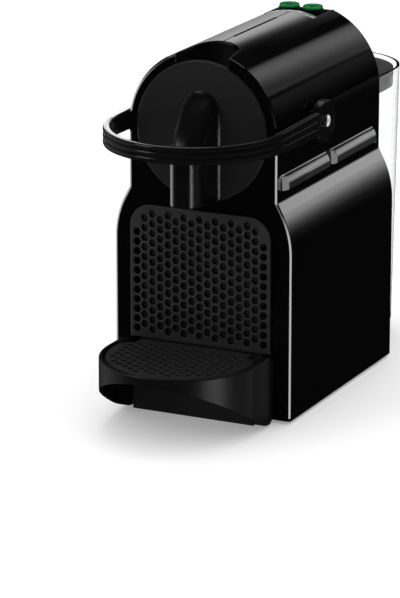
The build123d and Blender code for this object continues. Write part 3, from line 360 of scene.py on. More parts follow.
def makeSpout():
    # slices at rising heights: across, a squared-off half oval; the front comes forward along a sine;
    # a small flare runs out into the disc
    look = {"half": 11.2, "top": 203.2, "bottom": 138.0, "reach": 30.0, "drop": 37.0, "disc": -1.2,
            "square": 3.3, "flare": 1.6, "flareDepth": 1.0, "lip": 0.8, "rimDraw": 0.95}
    v = np.linspace(0, 1, 72)[:, None]
    q = np.linspace(0, 1, 97)[None, :]
    t = np.pi * 0.5 * (1 - np.cos(np.pi * q))
    rise = look["top"] - look["bottom"] - look["lip"]
    height = look["bottom"] + look["lip"] + rise * (1 - (1 - v) ** 2)
    over = np.clip(height - (look["top"] - look["half"]), 0, look["half"])
    wide = np.sqrt(look["half"] ** 2 - over ** 2)
    deep = look["reach"] * np.sin(np.pi / 2 * np.clip((look["top"] - height) / look["drop"], 0, 1))
    power = 2 / look["square"]
    across = wide * np.sign(np.cos(t)) * np.abs(np.cos(t)) ** power
    ahead = deep * np.abs(np.sin(t)) ** power
    flare = look["flare"] * np.exp(-ahead / look["flareDepth"])
    x = across + flare * across / look["half"]
    z = height + flare * over / look["half"] + 0 * t
    shape = np.dstack([x, look["disc"] - ahead, z])
    middle = np.array([0.0, look["disc"] - look["reach"] / 2, look["bottom"]])
    rim = shape[:1] * [look["rimDraw"], 1, 0] + [0, 0, look["bottom"]]
    rim[..., 1] = middle[1] + look["rimDraw"] * (rim[..., 1] - middle[1])
    foot = np.broadcast_to(middle, rim.shape)
    nose = np.concatenate([foot, rim, shape])
    addPiece("spoutNose", [(nose, False, False)], "housing", "satin_black", ("coffee_spout",), 40.0,
             "spout_black")


makeSpout()
print("spout made")


# Lever

lever = {"half": 57.9, "bendY": -3.6, "bend": 61.7, "pivotY": 58.0, "axisZ": 179.5, "thick": 4.6,
         "frontHeight": 10.6, "backHeight": 14.6, "groove": 1.0, "edge": 0.9, "bossInner": 51.6,
         "capRadius": 3.8, "capRise": 1.2, "capSunk": -0.8,
         "bossInside": ((0, 0), (0, 12.0), (0.3, 12.7), (0.9, 13.0)),
         "bossFace": ((-1.4, 13.0), (-0.6, 12.7), (-0.1, 12.0), (0, 11.2), (0, 10.4), (-0.2, 10.0),
                      (-0.4, 9.4), (-0.4, 4.6), (-0.6, 4.1), (-0.9, 3.9), (-0.9, 0))}


def makeLever():
    # a band carried round the loop: straight arms and a half oval; three ridges outside, a plain inside
    arm = np.linspace(lever["pivotY"], lever["bendY"], 26)[:-1]
    a = np.linspace(0, np.pi, 121)
    armX = np.full(25, lever["half"])
    pathX = np.concatenate([armX, lever["half"] * np.cos(a), -armX])
    pathY = np.concatenate([arm, lever["bendY"] - lever["bend"] * np.sin(a), arm[::-1]])
    normalX = np.concatenate([np.ones(25), np.cos(a) / lever["half"], -np.ones(25)])
    normalY = np.concatenate([np.zeros(25), -np.sin(a) / lever["bend"], np.zeros(25)])
    size = np.hypot(normalX, normalY)
    rise = np.linspace(-1, 1, 61)
    outside = -lever["groove"] * (1 - np.abs(np.cos(1.5 * np.pi * rise)) ** 0.55)
    back = np.linspace(1, -1, 21)
    inside = -lever["thick"] + lever["edge"] * np.abs(back) ** 8
    offset = np.concatenate([outside, inside])[None, :]
    level = np.concatenate([rise, back])[None, :]
    front = lever["bendY"] - lever["bend"]
    share = (pathY - front) / (lever["pivotY"] - front)
    height = lever["frontHeight"] + (lever["backHeight"] - lever["frontHeight"]) * share
    band = np.dstack([pathX[:, None] + offset * (normalX / size)[:, None],
                      pathY[:, None] + offset * (normalY / size)[:, None],
                      lever["axisZ"] + level * height[:, None] / 2])
    addPiece("leverBand", [(capped(band), False, True)], "lever", "lever_black", ("lever_loop",), 50.0)
    inner, outer = lever["bossInner"], lever["half"]
    profile = lifted(lever["bossInside"], inner) + lifted(lever["bossFace"], outer)
    right = turned(profile, 64, "x", (0, lever["pivotY"], lever["axisZ"]))
    bosses = [(right, False, True), (right * [-1, 1, 1], False, True)]
    addPiece("leverBosses", bosses, "lever", "lever_black", (), 40.0)
    turn = np.linspace(0, np.pi / 2, 12)
    r = np.concatenate([[0.0, lever["capRadius"]], lever["capRadius"] * np.cos(turn)])
    dome = lever["capRise"] * np.sqrt(np.clip(1 - (r[1:] / lever["capRadius"]) ** 2, 0, 1))
    sunk = np.full(2, outer + lever["capSunk"])
    profile = np.column_stack([np.concatenate([sunk, outer + dome[1:]]), r])
    cap = turned(profile, 48, "x", (0, lever["pivotY"], lever["axisZ"]))
    addPiece("pivotDomes", [(cap, False, True), (cap * [-1, 1, 1], False, True)], "lever", "chrome",
             ("pivot_caps",), 40.0)


makeLever()
print("lever made")


# Cup tray

tray = {"half": 50.25, "reach": 80.0, "top": 45.7, "frontLow": 40.0, "slope": 0.6, "earLow": 1.5,
        "wall": 2.4, "earWall": 7.0, "earStart": 22.0, "earRun": 6.0, "rimRound": 1.5, "innerRound": 0.5,
        "floorTop": 41.0, "floorLow": 39.0, "floorBack": -16.0, "pinY": -12.0, "pinZ": 37.5, "roll": 8.3,
        "rollSpare": 0.1, "earRound": 6.0, "footSoft": 2.0, "railFront": -16.0, "railBack": -13.0,
        "railLow": 41.4, "railTop": 43.4, "railSquare": 0.35}


def makeTray():
    # a wall carried round the plan, straight sides and a half circle; its foot follows a sloping plane,
    # its top is rounded, and its ends curl round the hinge
    centre = tray["half"] - tray["reach"]
    k = np.linspace(1, 0, 40)[:-1]
    a = np.linspace(0, np.pi, 121)
    normalX = np.concatenate([np.ones(39), np.cos(a), -np.ones(39)])[:, None]
    normalY = np.concatenate([np.zeros(39), -np.sin(a), np.zeros(39)])[:, None]
    straight = np.concatenate([k, np.zeros(121), k[::-1]])[:, None]
    rim = np.linspace(0, np.pi / 2, 8)
    wall = np.linspace(0, 1, 24)
    big, small = tray["rimRound"], tray["innerRound"]
    h = np.concatenate([wall, np.ones(14), wall[::-1]])[None, :]
    drop = np.concatenate([-big * wall, big * np.sin(rim[1:]) - big, small * np.cos(rim[:-1]) - small,
                           -small * wall[::-1]])[None, :]
    push = np.concatenate([np.zeros(24), big * np.cos(rim[1:]) - big, small - small * np.sin(rim[:-1]),
                           np.zeros(24)])[None, :]
    within = np.concatenate([np.zeros(31), np.ones(31)])[None, :]

    def endOf(z):
        lift = np.clip(z - tray["pinZ"], 0, tray["roll"] - tray["rollSpare"])
        return tray["pinY"] + np.sqrt(tray["roll"] ** 2 - lift ** 2)

    def footOf(y):
        line = tray["frontLow"] - tray["slope"] * (y + tray["reach"])
        soft = tray["footSoft"]
        foot = tray["earLow"] + soft * np.logaddexp(0, (line - tray["earLow"]) / soft)
        behind = np.clip(y - (tray["pinY"] + tray["roll"] - tray["earRound"]), 0, tray["earRound"])
        return foot + tray["earRound"] - np.sqrt(tray["earRound"] ** 2 - behind ** 2)

    def squared(wave):
        return np.sign(wave) * np.abs(wave) ** tray["railSquare"]

    base = centre + (tray["pinY"] + tray["roll"] - centre) * straight + tray["half"] * normalY
    share = np.clip((base + tray["earStart"]) / tray["earRun"], 0, 1)
    thick = tray["wall"] + (tray["earWall"] - tray["wall"]) * share * share * (3 - 2 * share)
    offset = push - thick * within
    foot = footOf(base)
    z = foot + (tray["top"] - foot) * h + drop
    y = centre + (endOf(z) - centre) * straight + (tray["half"] + offset) * normalY
    x = (tray["half"] + offset) * normalX + 0 * y
    shell = capped(np.dstack([x, y, z]))
    ring = np.array([0.0, 1.0, 1.0, 0.0])[None, :]
    level = np.repeat([tray["floorTop"], tray["floorLow"]], 2)[None, :]
    inset = tray["half"] - tray["wall"] / 2
    planX = inset * normalX
    planY = centre + (tray["floorBack"] - centre) * straight + inset * normalY
    planY = np.minimum(planY, tray["floorBack"])
    floor = np.dstack([planX + 0 * ring, tray["floorBack"] + (planY - tray["floorBack"]) * ring,
                       level + 0 * planX])
    turn = np.linspace(0, 2 * np.pi, 32, endpoint=False)
    railHalf = (tray["railBack"] - tray["railFront"]) / 2
    railHigh = (tray["railTop"] - tray["railLow"]) / 2
    railY = (tray["railBack"] + tray["railFront"]) / 2 + railHalf * squared(np.cos(turn))
    railZ = tray["railLow"] + railHigh + railHigh * squared(np.sin(turn))
    along = np.linspace(-1, 1, 3)[:, None] * (tray["half"] - tray["wall"])
    rail = capped(np.dstack([along + 0 * railY, railY + 0 * along, railZ + 0 * along]))
    grids = [(shell, False, True), (floor, False, True), (rail, False, True)]
    addPiece("cupTray", grids, "tray", "satin_black", ("cup_tray",), 35.0)


makeTray()
print("tray made")


# Side bars

def makeVentBars():
    # an outline of (out, up) pairs carried along the side, drawn in at both ends
    look = {"side": 50.0, "low": 146.0, "starts": (7.0, 80.5), "length": 67.5, "round": 0.18, "angle": 18.0,
            "endRows": (0.0, 0.25, 2.4, 2.7), "endDraw": (0.12, 0.22, 0.94, 1.0),
            "outline": ((-0.4, 0.0), (3.2, 0.0), (3.8, 0.7), (3.8, 4.5), (3.7, 4.9), (2.0, 8.4),
                        (1.8, 8.7), (0.7, 9.2), (0.3, 10.0), (-0.4, 10.0))}
    outline = np.array(look["outline"])
    rows = np.array(look["endRows"])
    draw = np.array(look["endDraw"])
    along = np.concatenate([rows, look["length"] - rows[::-1]])[:, None]
    out = np.concatenate([draw, draw[::-1]])[:, None]
    grids = []
    for start in look["starts"]:
        reach = np.minimum(outline[:, 0], 0) + np.maximum(outline[:, 0], 0) * out
        bar = capped(np.dstack([look["side"] + reach, start + along + 0 * reach,
                                look["low"] + outline[:, 1] + 0 * along]))
        grids += [(bar, False, True), (bar * [-1, 1, 1], False, True)]
    bars = addPiece("ventBars", grids, "housing", "gloss_black", ("vent_bars",), 20.0)
    softened(bars, look["round"], look["angle"])


makeVentBars()
print("side bars made")


# Buttons

def makeButtons():
    # turned profiles: a dark cap on its stem, and a lit ring that dishes in towards the middle
    look = {"x": 8.2, "y": 146.0, "flat": 226.412, "stemLow": 213.8, "stem": 2.5,
            "cap": ((-1.4, 2.5), (-1.4, 6.3), (-1.1, 6.6), (1.3, 6.6), (1.7, 6.95), (2.1, 7.0), (2.5, 6.8),
                    (2.9, 6.4), (3.0, 6.0), (3.0, 2.3), (3.75, 2.2), (3.9, 1.9), (3.9, 0)),
            "ring": ((2.95, 2.3), (2.95, 6.1), (3.1, 6.4), (3.7, 6.5), (4.3, 6.3), (4.5, 5.9), (4.4, 5.3),
                     (4.05, 4.2), (3.85, 2.3))}
    cap = [(look["stemLow"], 0), (look["stemLow"], look["stem"])] + lifted(look["cap"], look["flat"])
    ring = lifted(look["ring"], look["flat"])
    for side, sign in (("right", 1), ("left", -1)):
        place = (sign * look["x"], look["y"], 0)
        key = side + "_key"
        capGrid = [(turned(cap, 48, "z", place), False, True)]
        addPiece(side + "ButtonCap", capGrid, key, "satin_black", (side + "_button",), 40.0)
        ringGrid = [(turned(ring, 48, "z", place), True, True)]
        addPiece(side + "ButtonGlow", ringGrid, key, "green_light", (side + "_button_ring",), 40.0)


makeButtons()
print("buttons made")


# Capsule slot

def makeScoop():
    # the slot's plan, two tapering sides and a round back, carried down and drawn in as it goes
    look = {"front": 17.6, "back": 15.0, "sideDepth": 21.4, "depth": 29.8, "start": 2.6, "low": 203.5,
            "crown": 49.8, "axisZ": 179.5, "drawIn": 4.0, "thick": 0.7}
    s = np.linspace(0, 1, 24)
    sideY = look["start"] + (look["sideDepth"] - look["start"]) * s[:-1]
    sideX = look["front"] + (look["back"] - look["front"]) * sideY / look["sideDepth"]
    b = np.linspace(0, np.pi, 49)
    backX = look["back"] * np.cos(b)
    backY = look["sideDepth"] + (look["depth"] - look["sideDepth"]) * np.sin(b)
    planX = np.concatenate([sideX, backX, -sideX[::-1]])[:, None]
    planY = np.concatenate([sideY, backY, sideY[::-1]])[:, None]
    v = np.linspace(0, 1, 20)[None, :]
    high = look["axisZ"] + np.sqrt(look["crown"] ** 2 - planX ** 2)
    z = high + (look["low"] - high) * v
    draw = look["drawIn"] * v ** 2
    x = planX * (1 - draw / look["front"])
    y = planY - draw * np.clip(planY / look["depth"], 0, 1) ** 2
    scoop = addPiece("capsuleScoop", [(np.dstack([x, y, z]), False, False)], "housing", "satin_black",
                     ("capsule_lining",), 60.0)
    wall = scoop.modifiers.new("wall", "SOLIDIFY")
    wall.thickness = look["thick"] * mm
    wall.offset = 0.0


def makeSlotBead():
    # a small round bead carried along the slot's edge on the crown, and down its two front ends
    look = {"front": 17.8, "back": 15.2, "sideDepth": 21.4, "depth": 30.0, "axisZ": 179.5, "crown": 49.75,
            "disc": 43.9, "bead": 0.4, "startY": 0.8, "endY": 0.35, "endDrop": 0.6, "lean": (0.0, 0.6, 0.8)}
    sideY = np.linspace(look["startY"], look["sideDepth"], 24)[:-1]
    sideX = look["front"] + (look["back"] - look["front"]) * sideY / look["sideDepth"]
    b = np.linspace(0, np.pi, 49)
    x = np.concatenate([sideX, look["back"] * np.cos(b), -sideX[::-1]])
    backY = look["sideDepth"] + (look["depth"] - look["sideDepth"]) * np.sin(b)
    y = np.concatenate([sideY, backY, sideY[::-1]])
    z = look["axisZ"] + np.sqrt(look["crown"] ** 2 - x ** 2)
    foot = look["axisZ"] + math.sqrt(look["disc"] ** 2 - look["front"] ** 2)
    ends = np.array([(look["front"], look["endY"], foot),
                     (look["front"], look["endY"], z[0] - look["endDrop"])])
    path = np.vstack([ends, np.column_stack([x, y, z]), ends[::-1] * [-1, 1, 1]])
    ahead = np.gradient(path, axis=0)
    ahead /= np.linalg.norm(ahead, axis=1, keepdims=True)
    side = np.cross(ahead, look["lean"])
    side /= np.linalg.norm(side, axis=1, keepdims=True)
    up = np.cross(side, ahead)
    turn = np.linspace(0, 2 * np.pi, 12, endpoint=False)
    ring = side[:, None] * np.cos(turn)[None, :, None] + up[:, None] * np.sin(turn)[None, :, None]
    bead = capped(path[:, None] + look["bead"] * ring)
    addPiece("slotBead", [(bead, False, True)], "housing", "gloss_black", (), 60.0)


makeScoop()
makeSlotBead()
print("capsule slot made")


# Seam along the crown with painted shade in its gap, and bright edges of the button recess

def makeThinLines():
    # small sections carried along Y
    look = {"seamTop": 229.56, "seamDeep": 0.6,
            "seams": ((0.28, (29.9, 45.0)), (0.28, (108.0, 127.5)), (0.9, (45.0, 108.0))),
            "edgeX": 17.15, "edgeTop": 226.85, "edgeDeep": 0.8, "edgeHalf": 0.35, "edgeRun": (127.6, 157.8)}

    def strip(middle, half, low, high, run):
        section = np.array([(-half, low), (half, low), (half, high), (-half, high)])
        along = np.array(run)[:, None]
        return capped(np.dstack([middle + section[:, 0] + 0 * along, along + 0 * section[:, 0],
                                 section[:, 1] + 0 * along]))

    low = look["seamTop"] - look["seamDeep"]
    seams = [(strip(0.0, half, low, look["seamTop"], run), False, True) for half, run in look["seams"]]
    # the seam and slit are real; the strip over them is painted black without reflection, as shade in the
    # gap
    addPiece("crownSeam", seams, "housing", "inner_black", finish="gap_shade_black")
    low = look["edgeTop"] - look["edgeDeep"]
    edges = [(strip(side * look["edgeX"], look["edgeHalf"], low, look["edgeTop"], look["edgeRun"]),
              False, True) for side in (-1, 1)]
    addPiece("recessEdges", edges, "housing", "silver")


makeThinLines()
print("fine lines made")


# Front edges of the casing

def makeFrontEdges():
    # a quarter-round bead, one parameter up the casing's outline (straight side, bend, slope, hollow,
    # straight side, crown arc), the other round the edge from front to side and back along its inside
    look = {"round": 2.0, "proud": 0.04, "thick": 0.15, "lower": 60.0, "upper": 50.0, "low": 4.0,
            "bend": (4.5, 106.86, 55.5), "slant": 28.0, "creaseZ": 139.5, "hollow": 3.5, "headZ": 179.5,
            "crownTurn": 62.0, "turn": (8.0, 82.0)}
    bendX, bendZ, bendRound = look["bend"]
    slant = np.radians(np.linspace(0, look["slant"], 9))
    back = slant[::-1]
    crown = np.radians(np.linspace(0, look["crownTurn"], 17))
    hollowX = look["upper"] + look["hollow"]
    hollowZ = look["creaseZ"] + look["hollow"] * math.tan(slant[-1] / 2)
    tilt = np.concatenate([[0.0], slant, back, crown])
    across = np.concatenate([[look["lower"]], bendX + bendRound * np.cos(slant),
                             hollowX - look["hollow"] * np.cos(back), look["upper"] * np.cos(crown)])
    height = np.concatenate([[look["low"]], bendZ + bendRound * np.sin(slant),
                             hollowZ - look["hollow"] * np.sin(back),
                             look["headZ"] + look["upper"] * np.sin(crown)])
    outer = np.radians(np.linspace(*look["turn"], 12))
    turn = np.concatenate([outer, outer[::-1]])
    reach = look["round"] + look["proud"] - np.repeat([0.0, look["thick"]], len(outer))
    out = reach * np.sin(turn) - look["round"]
    x = across[:, None] + np.cos(tilt)[:, None] * out
    z = height[:, None] + np.sin(tilt)[:, None] * out
    y = np.broadcast_to(look["round"] - reach * np.cos(turn), x.shape)
    beads = [(capped(np.dstack([side * x, y, z])), False, True) for side in (1, -1)]
    addPiece("frontEdges", beads, "housing", "gloss_black", crease=60.0)


makeFrontEdges()
print("front edges made")


# Studio

studio = {"floorSide": 12.0, "floorColour": (0.9, 0.9, 0.9), "floorDrift": 0.985, "floorCloud": 1.5,
          "floorRoughness": 0.9, "floorSheen": 0.1, "floorGlow": 0.25, "dome": 0.84, "shade": 0.008,
          "leftGlow": ((-0.72, -0.96), 0.4), "rightGlow": ((0.66, 0.9), 0.15),
          "backGlow": ((0.93, 0.985), 0.1), "back": (-0.42, 0.86, -0.28), "through": 0.3}
photo = {"height": 598, "focal": 3520.6, "sensor": 36.0, "shift": (0.0007, 0.0007), "clip": (0.05, 60.0),
         "eye": (902.2, -1873.2, 687.4), "target": (-45.06, 90.0, 43.26)}


def stageSheet(name, grid):
    # a sheet that belongs to the studio, from a rows x columns array of points
    sheet = bpy.data.objects.new(name, meshOf(name, [(grid, False, False)]))
    bpy.context.scene.collection.objects.link(sheet)
    return sheet


def makeFloor():
    # a flat square: both parameters run along the sides
    half = studio["floorSide"] / 2
    u, v = np.meshgrid(np.linspace(-half, half, 9), np.linspace(-half, half, 9))
    floor = stageSheet("studioFloor", np.dstack([u, v, np.zeros_like(u)]))
    material, tree, shader, place = newFinish("paleFloor")
    cloud = addNoise(tree, place, studio["floorCloud"], 2.0)
    colour = studio["floorColour"]
    darker = tuple(studio["floorDrift"] * c for c in colour)
    tree.links.new(tint(tree, cloud, darker, colour), shader.inputs["Base Color"])
    shader.inputs["Roughness"].default_value = studio["floorRoughness"]
    shader.inputs["Specular IOR Level"].default_value = studio["floorSheen"]
    shader.inputs["Emission Color"].default_value = (1, 1, 1, 1)
    shader.inputs["Emission Strength"].default_value = studio["floorGlow"]
    floor.data.materials.append(material)
    floor.visible_glossy = False


def lightCard(name, look):
    # an upright sheet of light over a line on the floor plan: one parameter along the line, the other
    # up. Its glow runs along one axis; where it names the pieces that it lights, no other sees it.
    (startX, startY), (endX, endY) = look["ends"]
    low, high = look["up"]
    u, v = np.meshgrid(np.linspace(0, 1, 5), np.linspace(low, high, 5))
    x = startX + (endX - startX) * u
    y = startY + (endY - startY) * u
    card = stageSheet(name, np.dstack([x, y, v]))
    material = bpy.data.materials.new(name)
    material.use_nodes = True
    tree = material.node_tree
    tree.nodes.clear()
    output = tree.nodes.new("ShaderNodeOutputMaterial")
    emission = tree.nodes.new("ShaderNodeEmission")
    split = tree.nodes.new("ShaderNodeSeparateXYZ")
    tree.links.new(tree.nodes.new("ShaderNodeTexCoord").outputs["Object"], split.inputs[0])
    start, end = {"X": (startX, endX), "Y": (startY, endY), "Z": (low, high)}[look["along"]]
    ranged = tree.nodes.new("ShaderNodeMapRange")
    ranged.inputs["From Min"].default_value = start
    ranged.inputs["From Max"].default_value = end
    tree.links.new(split.outputs[look["along"]], ranged.inputs["Value"])
    ramp = tree.nodes.new("ShaderNodeValToRGB")
    peak = max(glow for place, glow in look["glow"])
    stops = ramp.color_ramp.elements
    first, *between, last = [(place, (*[glow / peak] * 3, 1)) for place, glow in look["glow"]]
    stops[0].color = first[1]
    stops[1].color = last[1]
    for place, grey in between:
        stops.new((place - start) / (end - start)).color = grey
    tree.links.new(ranged.outputs["Result"], ramp.inputs["Fac"])
    tree.links.new(ramp.outputs["Color"], emission.inputs["Color"])
    emission.inputs["Strength"].default_value = peak
    tree.links.new(emission.outputs[0], output.inputs["Surface"])
    card.data.materials.append(material)
    card.visible_camera = False
    card.visible_shadow = False
    if "only" in look:
        through = tree.nodes.new("ShaderNodeAddShader")
        tree.links.new(emission.outputs[0], through.inputs[0])
        tree.links.new(tree.nodes.new("ShaderNodeBsdfTransparent").outputs[0], through.inputs[1])
        tree.links.new(through.outputs[0], output.inputs["Surface"])
        material.cycles.emission_sampling = "NONE"
        card.visible_diffuse = False
        card.visible_transmission = False
        lit = bpy.data.collections.new(name + "Lights")
        for piece in look["only"]:
            lit.objects.link(nodes.get(piece) or bpy.data.objects[piece])
        card.light_linking.receiver_collection = lit


def softBox(name, look):
    light = bpy.data.lights.new(name, "AREA")
    light.shape = "RECTANGLE"
    light.size, light.size_y = look["size"]
    light.energy = look["power"]
    holder = bpy.data.objects.new(name, light)
    place = Vector(look["place"])
    holder.location = place
    holder.rotation_euler = (Vector(look["aim"]) - place).to_track_quat("-Z", "Y").to_euler()
    bpy.context.scene.collection.objects.link(holder)


def darkFlag(name, look):
    # a black strip seen only in reflections, its long edges fading out: one parameter along Y,
    # the other up
    low, high = look["up"]
    u, v = np.meshgrid(np.linspace(*look["along"], 5), np.linspace(low, high, 3))
    flag = stageSheet(name, np.dstack([np.full_like(u, look["x"]), u, v]))
    material, tree, shader, place = newFinish(name)
    shader.inputs["Base Color"].default_value = (0, 0, 0, 1)
    shader.inputs["Roughness"].default_value = 1.0
    shader.inputs["Specular IOR Level"].default_value = 0.0
    split = tree.nodes.new("ShaderNodeSeparateXYZ")
    tree.links.new(place, split.inputs[0])
    cover = tree.nodes.new("ShaderNodeMath")
    cover.operation = "MINIMUM"
    fades = ((low, low + look["fadeLow"]), (high, high - look["fadeHigh"]))
    for slot, (start, end) in enumerate(fades):
        ranged = tree.nodes.new("ShaderNodeMapRange")
        ranged.interpolation_type = "SMOOTHSTEP"
        ranged.inputs["From Min"].default_value = start
        ranged.inputs["From Max"].default_value = end
        ranged.inputs["To Max"].default_value = look["cover"]
        tree.links.new(split.outputs["Z"], ranged.inputs["Value"])
        tree.links.new(ranged.outputs["Result"], cover.inputs[slot])
    tree.links.new(cover.outputs[0], shader.inputs["Alpha"])
    flag.data.materials.append(material)
    flag.visible_camera = False
    flag.visible_diffuse = False
    flag.visible_shadow = False
    flag.visible_transmission = False


def setWorld():
    # pale dome for the floor, dimmer through clear walls; for reflections a dark room that glows
    # on the left, on the right and behind
    world = bpy.data.worlds.new("studio")
    bpy.context.scene.world = world
    world.use_nodes = True
    tree = world.node_tree
    tree.nodes.clear()
    output = tree.nodes.new("ShaderNodeOutputWorld")
    dome = tree.nodes.new("ShaderNodeBackground")
    dome.inputs["Strength"].default_value = studio["dome"]
    dome.inputs["Color"].default_value = (1, 1, 1, 1)
    room = tree.nodes.new("ShaderNodeBackground")
    way = tree.nodes.new("ShaderNodeTexCoord").outputs["Generated"]
    sides = tree.nodes.new("ShaderNodeSeparateXYZ")
    tree.links.new(way, sides.inputs[0])
    behind = tree.nodes.new("ShaderNodeVectorMath")
    behind.operation = "DOT_PRODUCT"
    behind.inputs[1].default_value = studio["back"]
    tree.links.new(way, behind.inputs[0])
    total = None
    for value, glow in ((sides.outputs["X"], "leftGlow"), (sides.outputs["X"], "rightGlow"),
                        (behind.outputs["Value"], "backGlow")):
        (start, end), strength = studio[glow]
        ranged = tree.nodes.new("ShaderNodeMapRange")
        ranged.interpolation_type = "SMOOTHSTEP"
        ranged.inputs["From Min"].default_value = start
        ranged.inputs["From Max"].default_value = end
        ranged.inputs["To Max"].default_value = strength
        tree.links.new(value, ranged.inputs["Value"])
        add = tree.nodes.new("ShaderNodeMath")
        add.inputs[0].default_value = studio["shade"]
        if total:
            tree.links.new(total, add.inputs[0])
        tree.links.new(ranged.outputs["Result"], add.inputs[1])
        total = add.outputs[0]
    tree.links.new(total, room.inputs["Strength"])
    through = tree.nodes.new("ShaderNodeBackground")
    through.inputs["Strength"].default_value = studio["through"]
    rays = tree.nodes.new("ShaderNodeLightPath")
    seen = dome.outputs[0]
    for kind, light in (("Is Glossy Ray", room), ("Is Transmission Ray", through)):
        pick = tree.nodes.new("ShaderNodeMixShader")
        tree.links.new(rays.outputs[kind], pick.inputs["Fac"])
        tree.links.new(seen, pick.inputs[1])
        tree.links.new(light.outputs[0], pick.inputs[2])
        seen = pick.outputs[0]
    tree.links.new(seen, output.inputs["Surface"])


def setCamera():
    camera = bpy.data.objects.new("photoCamera", bpy.data.cameras.new("photoCamera"))
    camera.data.sensor_fit = "AUTO"
    camera.data.sensor_width = photo["sensor"]
    camera.data.lens = photo["focal"] / photo["height"] * photo["sensor"]
    camera.data.shift_x, camera.data.shift_y = photo["shift"]
    camera.data.clip_start, camera.data.clip_end = photo["clip"]
    eye, target = (Vector(point) for point in inFrame([photo["eye"], photo["target"]]))
    camera.location = eye
    camera.rotation_euler = (target - eye).to_track_quat("-Z", "Y").to_euler()
    bpy.context.scene.collection.objects.link(camera)
    bpy.context.scene.camera = camera


makeFloor()
setWorld()
setCamera()
shells = ("right_shell", "left_shell")
headFront = ("spoutNose", "honeycomb_panel", "front_disc")
cards = {
    "crownCard": {"ends": ((0.18, 2.0), (1.14, 2.0)), "up": (0.4, 1.6), "along": "X",
                  "glow": ((0.18, 0.0), (0.22, 0.1), (0.28, 0.5), (0.35, 0.74), (0.43, 0.88), (0.52, 0.9),
                           (0.60, 0.74), (0.67, 0.54), (0.80, 0.26), (0.87, 0.19), (0.97, 0.28),
                           (1.04, 0.1), (1.14, 0.0))},
    "shoulderCard": {"ends": ((0.8, 1.98), (1.9, 1.98)), "up": (-0.25, 0.84), "along": "Z",
                     "glow": ((-0.25, 0.0), (-0.14, 0.015), (-0.06, 0.04), (0.02, 0.08), (0.1, 0.22),
                              (0.18, 0.44), (0.26, 0.87), (0.345, 1.52), (0.43, 2.35), (0.545, 3.4),
                              (0.64, 3.6), (0.665, 1.6), (0.69, 0.5), (0.72, 0.12), (0.84, 0.0)),
                     "only": shells},
    "topCard": {"ends": ((-1.7, 2.0), (-0.1, 2.0)), "up": (-0.3, 1.24), "along": "Z",
                "glow": ((-0.3, 0.08), (0.0, 0.26), (0.35, 0.62), (0.53, 0.92), (0.7, 1.15),
                         (0.84, 1.36), (0.92, 1.34), (0.98, 1.12), (1.04, 0.6), (1.09, 0.25),
                         (1.13, 0.1), (1.17, 0.04), (1.24, 0.0)),
                "only": (*shells, "trim_strip", "leverBand")},
    "rightEdgeCard": {"ends": ((0.75, -1.35), (1.45, 0.2)), "up": (-0.6, 0.65), "along": "Z",
                      "glow": ((-0.6, 14.0), (0.1, 14.0), (0.3, 11.0), (0.5, 5.0), (0.65, 0.0)),
                      "only": ("frontEdges", "slotBead")},
    "leftEdgeCard": {"ends": ((-1.4, -0.2), (-0.75, 1.1)), "up": (-0.6, 0.4), "along": "Y",
                     "glow": ((-0.2, 7.5), (0.1, 4.8), (0.385, 2.6), (0.75, 1.05), (0.96, 0.62),
                              (1.1, 0.5)),
                     "only": ("frontEdges",)},
    "leftFrontCard": {"ends": ((-0.95, -1.1), (-1.4, -0.2)), "up": (-0.6, 0.4), "along": "Y",
                      "glow": ((-1.1, 10.0), (-0.2, 7.5)), "only": ("frontEdges",)},
    "trayCard": {"ends": ((1.07, -0.72), (1.28, -0.2)), "up": (-0.9, 0.0), "along": "Z",
                 "glow": ((-0.9, 2.2), (0.0, 2.2)), "only": ("cupTray",)},
    "trayEnd": {"ends": ((1.15, 0.93), (1.0, 1.15)), "up": (-0.9, 0.0), "along": "Z",
                "glow": ((-0.9, 0.4), (0.0, 0.4)), "only": ("cupTray",)},
    "spoutRight": {"ends": ((1.0, -0.85), (1.25, -0.33)), "up": (-0.9, 0.0), "along": "Z",
                   "glow": ((-0.9, 4.2), (0.0, 4.2)), "only": headFront},
    "spoutLeft": {"ends": ((-1.3, -0.7), (-1.3, 0.6)), "up": (-0.9, 0.2), "along": "Z",
                  "glow": ((-0.9, 2.2), (0.2, 2.2)), "only": headFront},
    "leverCard": {"ends": ((-0.5, 0.3), (-0.16, 0.3)), "up": (0.2, 0.6), "along": "Z",
                  "glow": ((0.2, 2.2), (0.6, 2.2)), "only": ("leverBand",)},
}
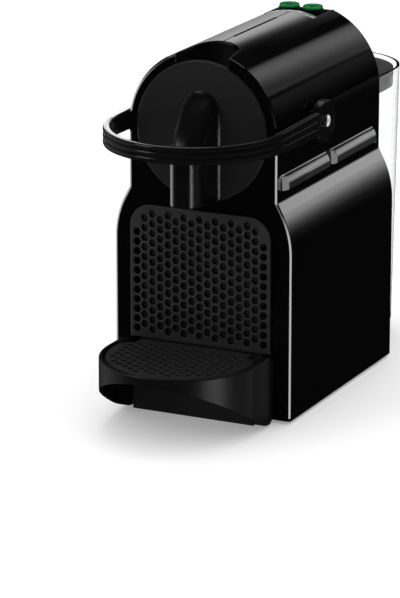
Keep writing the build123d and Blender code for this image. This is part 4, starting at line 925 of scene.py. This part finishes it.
for sign, sideName in ((1, "right"), (-1, "left")):
    near, far = 0.1 * sign, 1.6 * sign
    cards[sideName + "SideCard"] = {
        "ends": ((far, -1.2), (far, 2.4)), "up": (0.5, 2.4), "along": "Z", "only": shells,
        "glow": ((0.5, 0.0), (0.9, 0.4), (1.3, 1.4), (1.8, 2.2), (2.4, 2.2))}
    cards[sideName + "BarCard"] = {
        "ends": ((near, 0.0), (near, 0.35)), "up": (0.09, 0.26), "along": "Z", "only": ("ventBars",),
        "glow": ((0.09, 0.16), (0.135, 0.2), (0.15, 1.0), (0.16, 2.4), (0.168, 2.9), (0.177, 2.4),
                 (0.19, 0.8), (0.205, 0.0), (0.26, 0.0))}
    cards[sideName + "BarEndCard"] = {
        "ends": ((near, -0.25), (near, -0.003)), "up": (0.09, 0.2), "along": "Z", "only": ("ventBars",),
        "glow": ((0.09, 6.0), (0.2, 6.0))}
    cards[sideName + "PinCard"] = {
        "ends": ((near, 0.0), (near, 0.2)), "up": (0.08, 0.24), "along": "Z", "only": ("pivotDomes",),
        "glow": ((0.08, 0.9), (0.24, 0.9))}
for cardName, cardLook in cards.items():
    lightCard(cardName, cardLook)
flags = {
    "crownFlag": {"x": 0.12, "along": (-0.3, 0.7), "up": (0.169, 0.2615),
                  "fadeLow": 0.004, "fadeHigh": 0.016, "cover": 0.975},
    "trayFlag": {"x": -0.034, "along": (-0.14, -0.085), "up": (-0.012, 0.034),
                 "fadeLow": 0.002, "fadeHigh": 0.002, "cover": 1.0},
}
for flagName, flagLook in flags.items():
    darkFlag(flagName, flagLook)
softBoxes = {
    "above": {"place": (-0.2, 0.95, 2.2), "aim": (0.0, 0.1, 0.1), "size": (1.8, 1.8), "power": 14.0},
    "frontLeft": {"place": (-1.5, -1.6, 1.2), "aim": (0.0, 0.0, 0.12), "size": (0.9, 1.2), "power": 8.0},
}
for boxName, boxLook in softBoxes.items():
    softBox(boxName, boxLook)
bpy.context.scene.view_settings.view_transform = "Standard"
print("studio set")
